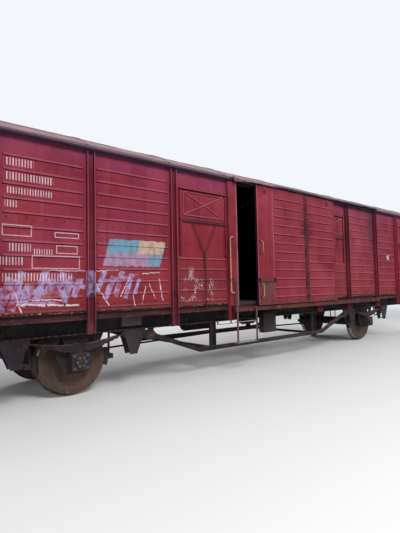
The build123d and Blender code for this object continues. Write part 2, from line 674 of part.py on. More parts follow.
corner_outline = (
    (-HALF_FRAME + CORNER_LEG, -SIDE_OUT), (-HALF_FRAME + CORNER_LEG, -SIDE_OUT - POST_STEEL),
    (-HALF_FRAME - POST_STEEL, -SIDE_OUT - POST_STEEL), (-HALF_FRAME - POST_STEEL, -SIDE_OUT + CORNER_LEG),
    (-HALF_FRAME, -SIDE_OUT + CORNER_LEG), (-HALF_FRAME, -SIDE_OUT),
)
corner_posts = half_turned_pair(
    both_ways(prism(Plane.XY.offset(SILL_BOTTOM), corner_outline, POST_TOP - SILL_BOTTOM))
)

roof_inner = ROOF_RADIUS - ROOF_SHEET
CANTRAIL_IN = SIDE_IN - 10
cantrails = half_turned_pair(
    prism(
        cross_plane(-HALF_FRAME),
        ((-SIDE_OUT, WALL_TOP), (-SIDE_OUT, roof_height(SIDE_OUT, roof_inner) - 1),
         (-CANTRAIL_IN, roof_height(CANTRAIL_IN, roof_inner) - 1), (-CANTRAIL_IN, WALL_TOP)),
        2 * HALF_FRAME,
    )
)

END_POST_Y = 440
with BuildPart() as one_end:
    with BuildSketch(cross_plane(END_INNER)):
        with BuildLine():
            ThreePointArc(
                (-SIDE_IN, roof_height(SIDE_IN, roof_inner - 1)), (0, ROOF_CENTRE_Z + roof_inner - 1),
                (SIDE_IN, roof_height(SIDE_IN, roof_inner - 1)),
            )
            Polyline(
                (SIDE_IN, roof_height(SIDE_IN, roof_inner - 1)), (SIDE_IN, FRAME_TOP), (-SIDE_IN, FRAME_TOP),
                (-SIDE_IN, roof_height(SIDE_IN, roof_inner - 1)),
            )
        make_face()
    extrude(amount=WALL)
    for middle, width in ((-850, 640), (0, 690), (850, 640)):
        add(pressed_ribs([(HALF_FRAME + RIB_RISE / 2, middle, z) for z in ROWS_A], width, RISE_END))
with BuildPart() as end_wall_cut:
    add(one_end.part)
    for side in (-1, 1):
        with Locations((END_INNER + 15, side * (CANTRAIL_IN + 10), WALL_TOP + 100)):
            Box(40, 20, 200, mode=Mode.SUBTRACT)
end_walls = half_turned_pair(end_wall_cut.part)


def end_post(y):
    """An upright channel on the end wall, from the headstock to under the roof."""
    half = POST_WIDTH / 2
    face, out = HALF_FRAME, HALF_FRAME + POST_DEPTH
    outline = (
        (face, y - half), (out, y - half), (out, y - half + POST_STEEL),
        (face + POST_STEEL, y - half + POST_STEEL), (face + POST_STEEL, y + half - POST_STEEL),
        (out, y + half - POST_STEEL), (out, y + half), (face, y + half),
    )
    return prism(Plane.XY.offset(FRAME_BOTTOM + 5), outline, 3850 - FRAME_BOTTOM - 5)


end_posts = half_turned_pair(end_post(-END_POST_Y), end_post(END_POST_Y))

BOWS_X = [0] + [way * reach for reach in OUTRIGGERS_X for way in (-1, 1)]
SEAMS_X = BOWS_X + [-6395, 6395]
CROWN_HALF_WIDTH = 1337          # the crown sheets and their seams end before the hoods over the doors
EDGE_STEP = 1                    # the edge sheets lie this much lower
ARC_RUNS = 12


def arched_bar(half_width, outer, inner, x_from, width):
    """A bar across the wagon that follows the roof in short straight runs, between two radii."""
    stations = [half_width * (2 * step / ARC_RUNS - 1) for step in range(ARC_RUNS + 1)]
    top = [(y, roof_height(y, outer)) for y in stations]
    bottom = [(y, roof_height(y, inner)) for y in reversed(stations)]
    return prism(cross_plane(x_from), top + bottom, width)


with BuildPart() as roof:
    add(roof_band(ROOF_HALF_WIDTH, ROOF_RADIUS - EDGE_STEP, roof_inner, -ROOF_HALF_LENGTH, 2 * ROOF_HALF_LENGTH))
    add(roof_band(CROWN_HALF_WIDTH, ROOF_RADIUS, ROOF_RADIUS - 10, -ROOF_HALF_LENGTH, 2 * ROOF_HALF_LENGTH))
    for x in SEAMS_X:
        add(roof_band(CROWN_HALF_WIDTH, ROOF_RADIUS + 7, ROOF_RADIUS - 10, x - 25, 50))
with BuildPart() as roof_bows:
    for x in BOWS_X:
        add(arched_bar(CANTRAIL_IN - 1, roof_inner - 1, roof_inner - 45, x - 20, 40))

EDGE_OUT = ROOF_HALF_WIDTH + 18
with BuildPart() as roof_edges:
    for left, right in ((-ROOF_HALF_LENGTH, HOOD_LEFT), (HOOD_RIGHT, ROOF_HALF_LENGTH)):
        edge = block(left, right, -ROOF_HALF_WIDTH, -EDGE_OUT, 3478, 3508)
        add(edge)
        add(edge, rotation=HALF_TURN)

# Door hood, rails and tracks
HOOD_OUT = 1478
HOOD_TOP = 3551
LIP_BOTTOM = FLANGE_TOP
door_hoods = half_turned_pair(
    prism(
        cross_plane(HOOD_LEFT),
        ((-1338, HOOD_TOP - 5), (-1338, HOOD_TOP), (-HOOD_OUT, HOOD_TOP), (-HOOD_OUT, LIP_BOTTOM),
         (-HOOD_OUT + 5, LIP_BOTTOM), (-HOOD_OUT + 5, HOOD_TOP - 5)),
        HOOD_RIGHT - HOOD_LEFT,
    )
)
with BuildPart() as top_rail:
    add(block(HOOD_LEFT, HOOD_RIGHT, -RAIL_Y + 5, -RAIL_Y - 5, POST_TOP, RAIL_TOP))
    for x in range(-1300, 3901, 650):
        add(block(x, x + 50, -SIDE_OUT, -RAIL_Y + 5, POST_TOP, POST_TOP + 6))
door_rails = half_turned_pair(top_rail.part)

TRACK_IN, TRACK_OUT = POST_OUT + 1, 1445
TRACK_TOP = LEAF_BOTTOM - 20
bottom_tracks = half_turned_pair(
    prism(
        cross_plane(HOOD_LEFT - 41),
        ((-TRACK_IN, TRACK_TOP - 8), (-TRACK_IN, TRACK_TOP + 14), (-TRACK_IN - 5, TRACK_TOP + 14),
         (-TRACK_IN - 5, TRACK_TOP), (-TRACK_OUT, TRACK_TOP), (-TRACK_OUT, FLANGE + 1058),
         (-TRACK_OUT + 8, FLANGE + 1058), (-TRACK_OUT + 8, TRACK_TOP - 8)),
        HOOD_RIGHT - HOOD_LEFT + 41,
    )
)
bracket_outline = (
    (-SIDE_OUT, SILL_BOTTOM), (-SIDE_OUT, SILL_TOP - 5), (-TRACK_IN, TRACK_TOP), (-TRACK_IN, TRACK_TOP - 20)
)
BRACKETS_X = (-1180, -590, 0, 590, 1180, 2300, 2900, 3400, 3900)
track_brackets = half_turned_pair(*[prism(cross_plane(x), bracket_outline, 10) for x in BRACKETS_X])

# Steps and grab rails
LADDER_Y = 1476
LADDER_LEFT, LADDER_RIGHT = -1350, -850
TREAD_Z = FLANGE + 500
RUNG_Z = FLANGE + 870
with BuildPart() as ladder:
    for x, top in ((LADDER_LEFT, FLANGE + 1655), (LADDER_RIGHT, TRACK_TOP - 5)):
        add(block(x - 20, x + 20, -LADDER_Y + 6, -LADDER_Y - 6, TREAD_Z, top))
        add(block(x - 20, x + 20, -TRACK_OUT, -LADDER_Y + 6, TRACK_TOP - 60, TRACK_TOP - 12))
    add(block(LADDER_LEFT - 20, LADDER_RIGHT + 20, -1385, -LADDER_Y - 12, TREAD_Z, TREAD_Z + 12))
    add(block(LADDER_LEFT - 20, LADDER_RIGHT + 20, -1420, -LADDER_Y - 12, RUNG_Z, RUNG_Z + 12))
    add(block(-1412, LADDER_LEFT + 20, -LADDER_Y + 6, -LADDER_Y - 6, FLANGE + 1625, FLANGE + 1655))
    add(block(-1412, -1400, -POST_OUT, -LADDER_Y + 6, FLANGE + 1625, FLANGE + 1655))
door_ladders = half_turned_pair(ladder.part)

with BuildPart() as corner_step:
    for x in (-6230, -5950):
        add(block(x - 20, x + 20, -1258, -1270, 410, 1190))
    add(block(-6250, -5930, -1180, -1290, 398, 410))
    add(block(-6250, -5930, -1200, -1290, 740, 750))
corner_steps = half_turned_pair(both_ways(corner_step.part))

GRAB_X = -1468
GRAB_FOOT_X = -1370
GRAB_OUT = 1455
GRAB_BOTTOM, GRAB_TOP = FLANGE + 1402, FLANGE + 2401
portal_grab = bent_bar(
    ((GRAB_FOOT_X, -POST_OUT, GRAB_BOTTOM), (GRAB_FOOT_X, -GRAB_OUT, GRAB_BOTTOM),
     (GRAB_X, -GRAB_OUT, GRAB_BOTTOM), (GRAB_X, -GRAB_OUT, GRAB_TOP),
     (GRAB_FOOT_X, -GRAB_OUT, GRAB_TOP), (GRAB_FOOT_X, -POST_OUT, GRAB_TOP)), 30, 11
)
end_grab = bent_bar(
    ((HALF_FRAME, -1205, 1330), (HALF_FRAME + 75, -1205, 1330), (HALF_FRAME + 75, -1205, 1830),
     (HALF_FRAME, -1205, 1830)), 35, 11
)
with BuildPart() as grab_set:
    add(portal_grab)
    add(end_grab)
    mirror(end_grab, about=Plane.XZ)
grab_rails = half_turned_pair(grab_set.part)

# Hatch guides, stops and drips
GUIDE_WIDTH = 30
LIP = 14
STOP_GAP = 0.5                   # the stops are separate blocks under the guides
with BuildPart() as guide_set:
    for centre, half in HATCHES:
        for side in (-1, 1):
            inner = centre + side * (half + 5)
            add(block(inner, inner + side * (GUIDE_WIDTH - 5), -SIDE_OUT, -1354, GUIDE_BOTTOM, SHUTTER_TOP))
            add(block(inner - side * 25, inner + side * (GUIDE_WIDTH - 5), -SIDE_OUT, -1354,
                      GUIDE_BOTTOM - 20, GUIDE_BOTTOM - STOP_GAP))
        add(prism(
            cross_plane(centre - half - GUIDE_WIDTH),
            ((-SIDE_OUT, SHUTTER_TOP + 10), (-SIDE_OUT, SHUTTER_TOP + 45), (-1385, SHUTTER_TOP + 22),
             (-1385, SHUTTER_TOP + 14)),
            2 * (half + GUIDE_WIDTH),
        ))
hatch_guides = half_turned_pair(guide_set.part)
with BuildPart() as lip_set:
    for centre, half in HATCHES:
        for side in (-1, 1):
            inner, outer = centre + side * (half - LIP), centre + side * (half + GUIDE_WIDTH)
            add(block(inner, outer, -1354, -1360, GUIDE_BOTTOM - 20, SHUTTER_TOP))
guide_lips = half_turned_pair(lip_set.part)

# Moving pieces

SHUTTER_FACE = 1341
RIDGE_RISE, RIDGE_WIDTH, RIDGE_INSET = 11, 34, 12
BORDER_BOTTOM, BORDER_TOP = FLANGE + 2715, FLANGE + 3110
BORDER_MARGIN = 53               # from the shutter's side edge to the middle of its border
RAIL_DROP = 28                   # the rail under the plate is this tall
RAIL_REACH = 24                  # and passes in front of the guides, this far beyond the plate
YOKE_HALF = 290
YOKE_APEX = FLANGE + 2060
YOKE_LEG = 15
STEM_BOTTOM = FLANGE + 1830      # below it the pull rod is thin


def ridge(centre, z, length, angle):
    """A pressed ridge on a shutter of the near side, turned in the plane of its plate."""
    with BuildPart() as solid:
        with Locations(Location((centre, -SHUTTER_FACE - RIDGE_RISE / 2, z), (0, angle, 0))):
            Wedge(length, RIDGE_RISE, RIDGE_WIDTH, RIDGE_INSET, RIDGE_INSET, length - RIDGE_INSET,
                  RIDGE_WIDTH - RIDGE_INSET, rotation=RISE_NEAR)
    return solid.part


def shutter(centre, half):
    """A hatch shutter of the near side: plate with a pressed border and cross, and the pull rod on its yoke."""
    reach = half - BORDER_MARGIN
    middle = (BORDER_TOP + BORDER_BOTTOM) / 2
    border_height = BORDER_TOP - BORDER_BOTTOM
    cross_angle = degrees(atan2(border_height, 2 * reach))
    leg_angle = degrees(atan2(SHUTTER_BOTTOM - YOKE_APEX, YOKE_HALF))
    leg_length = hypot(SHUTTER_BOTTOM - YOKE_APEX, YOKE_HALF)
    with BuildPart() as solid:
        add(block(centre - half, centre + half, -SHUTTER_FACE + 5, -SHUTTER_FACE, SHUTTER_BOTTOM, SHUTTER_TOP))
        for z in (BORDER_BOTTOM, BORDER_TOP):
            add(ridge(centre, z, 2 * reach + RIDGE_WIDTH, 0))
        for side in (-1, 1):
            add(ridge(centre + side * reach, middle, border_height + RIDGE_WIDTH, 90))
            add(ridge(centre, middle, hypot(border_height, 2 * reach), side * cross_angle))
        add(block(centre - half + 30, centre + half - 30, -SHUTTER_FACE + 5, -ROD_Y,
                  SHUTTER_BOTTOM - RAIL_DROP, SHUTTER_BOTTOM))
        add(block(centre - half - RAIL_REACH, centre + half + RAIL_REACH, -ROD_Y, -ROD_Y - 10,
                  SHUTTER_BOTTOM - RAIL_DROP, SHUTTER_BOTTOM))
        with BuildSketch(side_plane(1350)):
            for side in (-1, 1):
                with Locations(Location((centre + side * YOKE_HALF / 2, (SHUTTER_BOTTOM + YOKE_APEX) / 2),
                                        side * leg_angle)):
                    Rectangle(leg_length, YOKE_LEG)
        extrude(amount=8)
        add(block(centre - 15, centre + 15, -1350, -1366, STEM_BOTTOM, YOKE_APEX + 45))
        add(rod((centre, -ROD_Y, FLANGE + 1157), (centre, -ROD_Y, STEM_BOTTOM + 10), 8))
    return solid.part


def turned_piece(piece, turn):
    """The piece as a builder's part, turned about the middle of the wagon."""
    with BuildPart() as placed:
        add(piece, rotation=(0, 0, turn))
    return placed


shutters = {}
for number, (centre, half) in enumerate(HATCHES, start=1):
    shutters[f"near_shutter_{number}"] = turned_piece(shutter(centre, half), 0)
    shutters[f"far_shutter_{number}"] = turned_piece(shutter(centre, half), 180)

LEAF_OUT = LEAF_BACK + LEAF_THICK
DOOR_ROWS = [FLANGE + 3255 - 178.5 * row for row in range(12)]
with BuildPart() as leaf:
    add(block(-LEAF_HALF, LEAF_HALF, -LEAF_BACK, -LEAF_OUT, LEAF_BOTTOM, LEAF_TOP))
    add(block(-LEAF_HALF, LEAF_HALF, -LEAF_OUT + 9, -LEAF_OUT, LEAF_TOP, FLANGE_TOP))
    for rib_left, rib_right in ((-840, 165), (311, 1270)):
        middles = [((rib_left + rib_right) / 2, -LEAF_OUT - RIB_RISE / 2, z) for z in DOOR_ROWS]
        add(pressed_ribs(middles, rib_right - rib_left, RISE_NEAR))
    with BuildSketch(side_plane(LEAF_OUT)):
        with Locations((238, (LEAF_BOTTOM + FLANGE + 3404) / 2)):
            Rectangle(100, FLANGE + 3404 - LEAF_BOTTOM)
        for side in (-1, 1):
            with Locations((side * (LEAF_HALF - 20), (LEAF_BOTTOM + LEAF_TOP) / 2)):
                Rectangle(40, LEAF_TOP - LEAF_BOTTOM)
        with Locations((0, LEAF_BOTTOM + 25)):
            Rectangle(2 * LEAF_HALF, 50)
    extrude(amount=10)

HANGERS_X = (-1086, 1063)
HANDLE_X = -1255
HANDLE_OUT = 1512
with BuildPart() as fittings:
    for x in HANGERS_X:
        add(block(x - 45, x + 45, -LEAF_OUT, -LEAF_OUT - 8, 3330, RAIL_TOP + 40))
        add(rod((x, -LEAF_OUT, RAIL_TOP + 20.5), (x, -RAIL_Y + 7, RAIL_TOP + 20.5), 20))
    for low, high in ((FLANGE + 2140, FLANGE + 2370), (FLANGE + 1300, FLANGE + 1540)):
        add(bent_bar(((HANDLE_X, -LEAF_OUT, low), (HANDLE_X, -HANDLE_OUT, low), (HANDLE_X, -HANDLE_OUT, high),
                      (HANDLE_X, -LEAF_OUT, high)), 22, 10))
    add(block(-1300, -850, -LEAF_OUT - 10, -LEAF_OUT - 24, FLANGE + 1605, FLANGE + 1645))
    for x in (-1285, -905):
        add(block(x, x + 40, -LEAF_OUT, -LEAF_OUT - 10, FLANGE + 1600, FLANGE + 1650))


def door_piece(piece, shift, turn):
    """A door piece slid along the near side and then turned to its side of the wagon."""
    with BuildPart() as placed:
        with Locations((shift, 0, 0)):
            add(piece)
    return turned_piece(placed.part, turn)


pieces = {
    "solebars": solebars,
    "headstocks": headstocks,
    "cross_bearers": cross_bearers,
    "centre_sills": centre_sills,
    "outriggers": outriggers,
    "side_sills": side_sills,
    "floor": floor,
    "truss_bars": truss_bars,
    "queen_posts": queen_posts,
    "wheelset_a": wheelset_a,
    "wheelset_b": wheelset_b,
    "axleboxes": axleboxes,
    "axle_guards": axle_guards,
    "leaf_springs": leaf_springs,
    "spring_brackets": spring_brackets,
    "shackles": shackles,
    "brake_blocks": brake_blocks,
    "brake_beams": brake_beams,
    "brake_cylinder": brake_cylinder,
    "air_reservoir": air_reservoir,
    "brake_rods": brake_rods,
    "brake_pipe": brake_pipe,
    "equipment_boxes": equipment_boxes,
    "buffer_housings": buffer_housings,
    "buffer_heads": buffer_heads,
    "draw_hooks": draw_hooks,
    "screw_couplings": screw_couplings,
    "side_panels": side_panels,
    "hatch_panels": hatch_panels,
    "hatch_grilles": hatch_grilles,
    "hatch_guides": hatch_guides,
    "guide_lips": guide_lips,
    "side_posts": side_posts,
    "door_portals": door_portals,
    "corner_posts": corner_posts,
    "cantrails": cantrails,
    "end_walls": end_walls,
    "end_posts": end_posts,
    "roof": roof,
    "roof_bows": roof_bows,
    "roof_edges": roof_edges,
    "door_hoods": door_hoods,
    "door_rails": door_rails,
    "bottom_tracks": bottom_tracks,
    "track_brackets": track_brackets,
    "door_ladders": door_ladders,
    "corner_steps": corner_steps,
    "grab_rails": grab_rails,
    "near_door": door_piece(leaf.part, NEAR_DOOR_OPEN, 0),
    "near_door_fittings": door_piece(fittings.part, NEAR_DOOR_OPEN, 0),
    "far_door": door_piece(leaf.part, 0, 180),
    "far_door_fittings": door_piece(fittings.part, 0, 180),
    **shutters,
}

os.makedirs("parts", exist_ok=True)
for name, piece in pieces.items():
    piece.part.label = name
    export_step(piece.part, f"parts/{name}.step")
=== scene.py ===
"""Finish, small hardware and stage of a two-axle covered goods wagon.

Metres. +X runs along the wagon, -Y is its near side, +Z is up, and the rail top is 28 mm above the origin.
"""

import functools
import json
import math
from itertools import product

import bmesh
import bpy
from mathutils import Euler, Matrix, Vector

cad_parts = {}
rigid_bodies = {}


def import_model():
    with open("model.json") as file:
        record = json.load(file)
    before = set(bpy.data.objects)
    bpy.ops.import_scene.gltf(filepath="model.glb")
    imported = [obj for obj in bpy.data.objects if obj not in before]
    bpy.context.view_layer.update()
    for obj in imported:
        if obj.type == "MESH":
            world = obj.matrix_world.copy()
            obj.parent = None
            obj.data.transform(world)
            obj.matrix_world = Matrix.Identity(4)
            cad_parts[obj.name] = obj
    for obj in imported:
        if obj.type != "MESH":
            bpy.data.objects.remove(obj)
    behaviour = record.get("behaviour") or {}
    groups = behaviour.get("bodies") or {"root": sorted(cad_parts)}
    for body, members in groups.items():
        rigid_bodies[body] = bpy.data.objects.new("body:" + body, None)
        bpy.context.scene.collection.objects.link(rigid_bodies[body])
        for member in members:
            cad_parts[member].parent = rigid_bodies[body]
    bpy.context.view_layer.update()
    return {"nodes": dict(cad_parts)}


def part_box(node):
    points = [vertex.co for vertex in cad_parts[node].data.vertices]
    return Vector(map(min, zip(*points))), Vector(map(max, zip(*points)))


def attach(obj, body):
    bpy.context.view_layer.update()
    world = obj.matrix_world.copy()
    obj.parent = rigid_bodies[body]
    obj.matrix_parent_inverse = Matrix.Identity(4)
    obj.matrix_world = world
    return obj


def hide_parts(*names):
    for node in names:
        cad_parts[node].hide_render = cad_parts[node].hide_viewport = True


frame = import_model()

bl_info = {
    "name": "Covered Wagon Finish",
    "version": (1, 0, 0),
    "blender": (4, 5, 0),
    "location": "View3D > Sidebar > Wagon",
    "description": "Paint, rust, rivets, bolts, door hoods and stage of a covered goods wagon",
    "category": "Object",
}

# Places on the wagon, from the model's boxes and the pitch of its posts
RAIL_TOP = 0.028
SHEET_OUT = 1.330
SHEET_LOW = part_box("side_panels")[0].z
LINING_OUT = 1.3005
LOAD_HALF_LENGTH = 6.36
WALL_SIDE = (1.315, 1.325)
POSTS_X = (2.640, 4.060, 5.285)
POST_OUT = 1.390
POST_WIDTH = 0.110
POST_REACH = 0.070
PORTAL_OUTER = 1.436
HATCHES_X = (1.978, 5.818)
DOOR_HATCH = (1.43, 2.59)
RIB_RISE = 0.014
SHUTTER_BOTTOM = 2.668
ROD_TOP = 2.636
DOOR_FACE = 1.437
DOOR_HALF = 1.340
NEAR_DOOR_OPEN = 0.600
DOORS = (("near_door", 1, NEAR_DOOR_OPEN), ("far_door", -1, 0.0))
HANGERS_X, HANGER_Z = (-1.086, 1.063), 3.372
HANDLE_X, HANDLE_ENDS = -1.255, (2.168, 2.398, 1.328, 1.568)
AXLE_X, AXLE_Z = 4.100, 0.528
BUFFER_Y, BUFFER_Z = 0.875, 1.088
FRAME_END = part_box("headstocks")[1].x
SOLEBAR_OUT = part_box("solebars")[1].y
HOOD_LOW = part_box("door_hoods")[0].z
BOTH = (-1, 1)


def srgb(red, green, blue):
    """A colour written as screen values from 0 to 255, as the linear values that Blender's sockets take."""
    return tuple(
        (c / 255 / 12.92) if c <= 10 else ((c / 255 + 0.055) / 1.055) ** 2.4 for c in (red, green, blue)
    )


SHADE = srgb(88, 54, 84)
EAVE_SHADE = srgb(42, 26, 44)
LILAC = srgb(148, 134, 172)
WORN_WHITE = srgb(206, 192, 198)
RIB_HIGHLIGHT = srgb(146, 76, 92)
BACKGROUND = (0.90, 0.93, 0.97, 1.0)


# What a user may change

COLOUR = {"subtype": "COLOR", "size": 3, "min": 0, "max": 1}
LENGTH = {"subtype": "DISTANCE", "unit": "LENGTH"}


class WagonPaintSettings(bpy.types.PropertyGroup):
    """Colours of the wagon's paint and wear, and how strong its wear and painted shading are."""

    wall: bpy.props.FloatVectorProperty(
        name="Wall", description="Paint of the walls where it kept its colour", default=srgb(112, 34, 54),
        **COLOUR)
    wall_faded: bpy.props.FloatVectorProperty(
        name="Faded wall", description="The same paint, bleached by the sun", default=srgb(126, 44, 64),
        **COLOUR)
    wall_low: bpy.props.FloatVectorProperty(
        name="Low wall", description="Warmer paint low on the walls", default=srgb(118, 33, 39), **COLOUR)
    roof_edge: bpy.props.FloatVectorProperty(
        name="Roof edge", description="Rusty primer along the edges of the roof", default=srgb(112, 72, 70),
        **COLOUR)
    roof: bpy.props.FloatVectorProperty(
        name="Roof", description="Weathered grey of the roof sheet", default=srgb(158, 150, 146), **COLOUR)
    frame: bpy.props.FloatVectorProperty(
        name="Frame", description="Dusty black of the underframe", default=srgb(30, 28, 32), **COLOUR)
    rust: bpy.props.FloatVectorProperty(
        name="Rust", description="Dry brown rust", default=srgb(92, 54, 40), **COLOUR)
    # Colour of dust, also used as the painted highlight on faces that look up
    dust_and_highlight: bpy.props.FloatVectorProperty(
        name="Dust", description="Pale dust on faces that look up", default=srgb(150, 104, 104), **COLOUR)
    # Also scales the painted highlight on faces that look up and the painted shade on faces that look down
    wear_and_shading: bpy.props.FloatProperty(
        name="Wear", description="Amount of grime, streaks and rust on painted steel", subtype="FACTOR",
        default=1.0, min=0, max=1.5)


class WagonHardwareSettings(bpy.types.PropertyGroup):
    """Sizes of the wagon's rivets, bolts and welds."""

    rivet_radius: bpy.props.FloatProperty(
        name="Rivet radius", description="Radius of a rivet's head", default=0.011, min=0.002, max=0.05,
        **LENGTH)
    bolt_radius: bpy.props.FloatProperty(
        name="Bolt radius", description="Radius over the corners of a bolt's head", default=0.014, min=0.002,
        max=0.05, **LENGTH)
    frame_pitch: bpy.props.FloatProperty(
        name="Frame rivet pitch", description="Distance between the rivets along the underframe", default=0.09,
        min=0.02, max=1.0, **LENGTH)
    weld_pitch: bpy.props.FloatProperty(
        name="Weld ripple", description="Distance between the ripples of a weld", default=0.016, min=0.005,
        max=0.1, **LENGTH)
    hood_dent: bpy.props.FloatProperty(
        name="Hood dent", description="How far the lip over the near door is bent up and down", default=0.014,
        min=0, max=0.05, **LENGTH)


class WagonStageSettings(bpy.types.PropertyGroup):
    """Floor, lamps and surrounding light."""

    floor: bpy.props.FloatVectorProperty(
        name="Floor", description="Colour of the pale floor", default=(0.72, 0.72, 0.71), **COLOUR)
    key_energy: bpy.props.FloatProperty(
        name="Key lamp", description="Strength of the high lamp on the near side", unit="POWER",
        default=1300, min=0, max=20000)
    world_strength: bpy.props.FloatProperty(
        name="Surrounding light", description="Strength of the even light from all round",
        default=0.46, min=0, max=5)


SETTINGS = {
    "wagon_paint": WagonPaintSettings,
    "wagon_hardware": WagonHardwareSettings,
    "wagon_stage": WagonStageSettings,
}


# Node trees

class Value:
    """What one node puts out, which takes plain arithmetic and the steps that masks are made of."""

    def __init__(self, tree, socket):
        self.tree = tree
        self.socket = socket

    def math(self, operation, *others):
        return self.tree.value("ShaderNodeMath", dict(enumerate((self, *others))), operation=operation)

    def __add__(self, other):
        return self.math("ADD", other)

    def __sub__(self, other):
        return self.math("SUBTRACT", other)

    def __mul__(self, other):
        return self.math("MULTIPLY", other)

    def __or__(self, other):
        return self.math("MAXIMUM", other)

    def __abs__(self):
        return self.math("ABSOLUTE")

    def step(self, low, high, to_low=0.0, to_high=1.0):
        """A smooth step from one end of a range to the other."""
        return self.tree.value("ShaderNodeMapRange", {
            "Value": self, "From Min": low, "From Max": high, "To Min": to_low, "To Max": to_high,
        }, interpolation_type="SMOOTHSTEP")

    def band(self, low, high, soft=0.003):
        """A mask that is 1 between two values."""
        return self.step(low - soft, low + soft) * self.step(high + soft, high - soft)


def either(masks):
    """The largest of several masks."""
    return functools.reduce(Value.__or__, masks)


def distance(across, rise):
    """How far a point is from an axis, from its two distances across it."""
    return (across * across + rise * rise).math("SQRT")


class Tree:
    """A node tree under construction."""

    def __init__(self, tree):
        self.tree = tree
        self.tree.nodes.clear()

    def feed(self, socket, value):
        """Gives an input a plain value, or links it to another node's."""
        if isinstance(value, Value):
            self.tree.links.new(value.socket, socket)
        else:
            socket.default_value = value

    def node(self, kind, inputs=None, **settings):
        made = self.tree.nodes.new(kind)
        for key, value in settings.items():
            setattr(made, key, value)
        for key, value in (inputs or {}).items():
            self.feed(made.inputs[key], value)
        return made

    def value(self, kind, inputs=None, output=0, **settings):
        """One of the values that a new node puts out."""
        return Value(self, self.node(kind, inputs, **settings).outputs[output])


# Materials

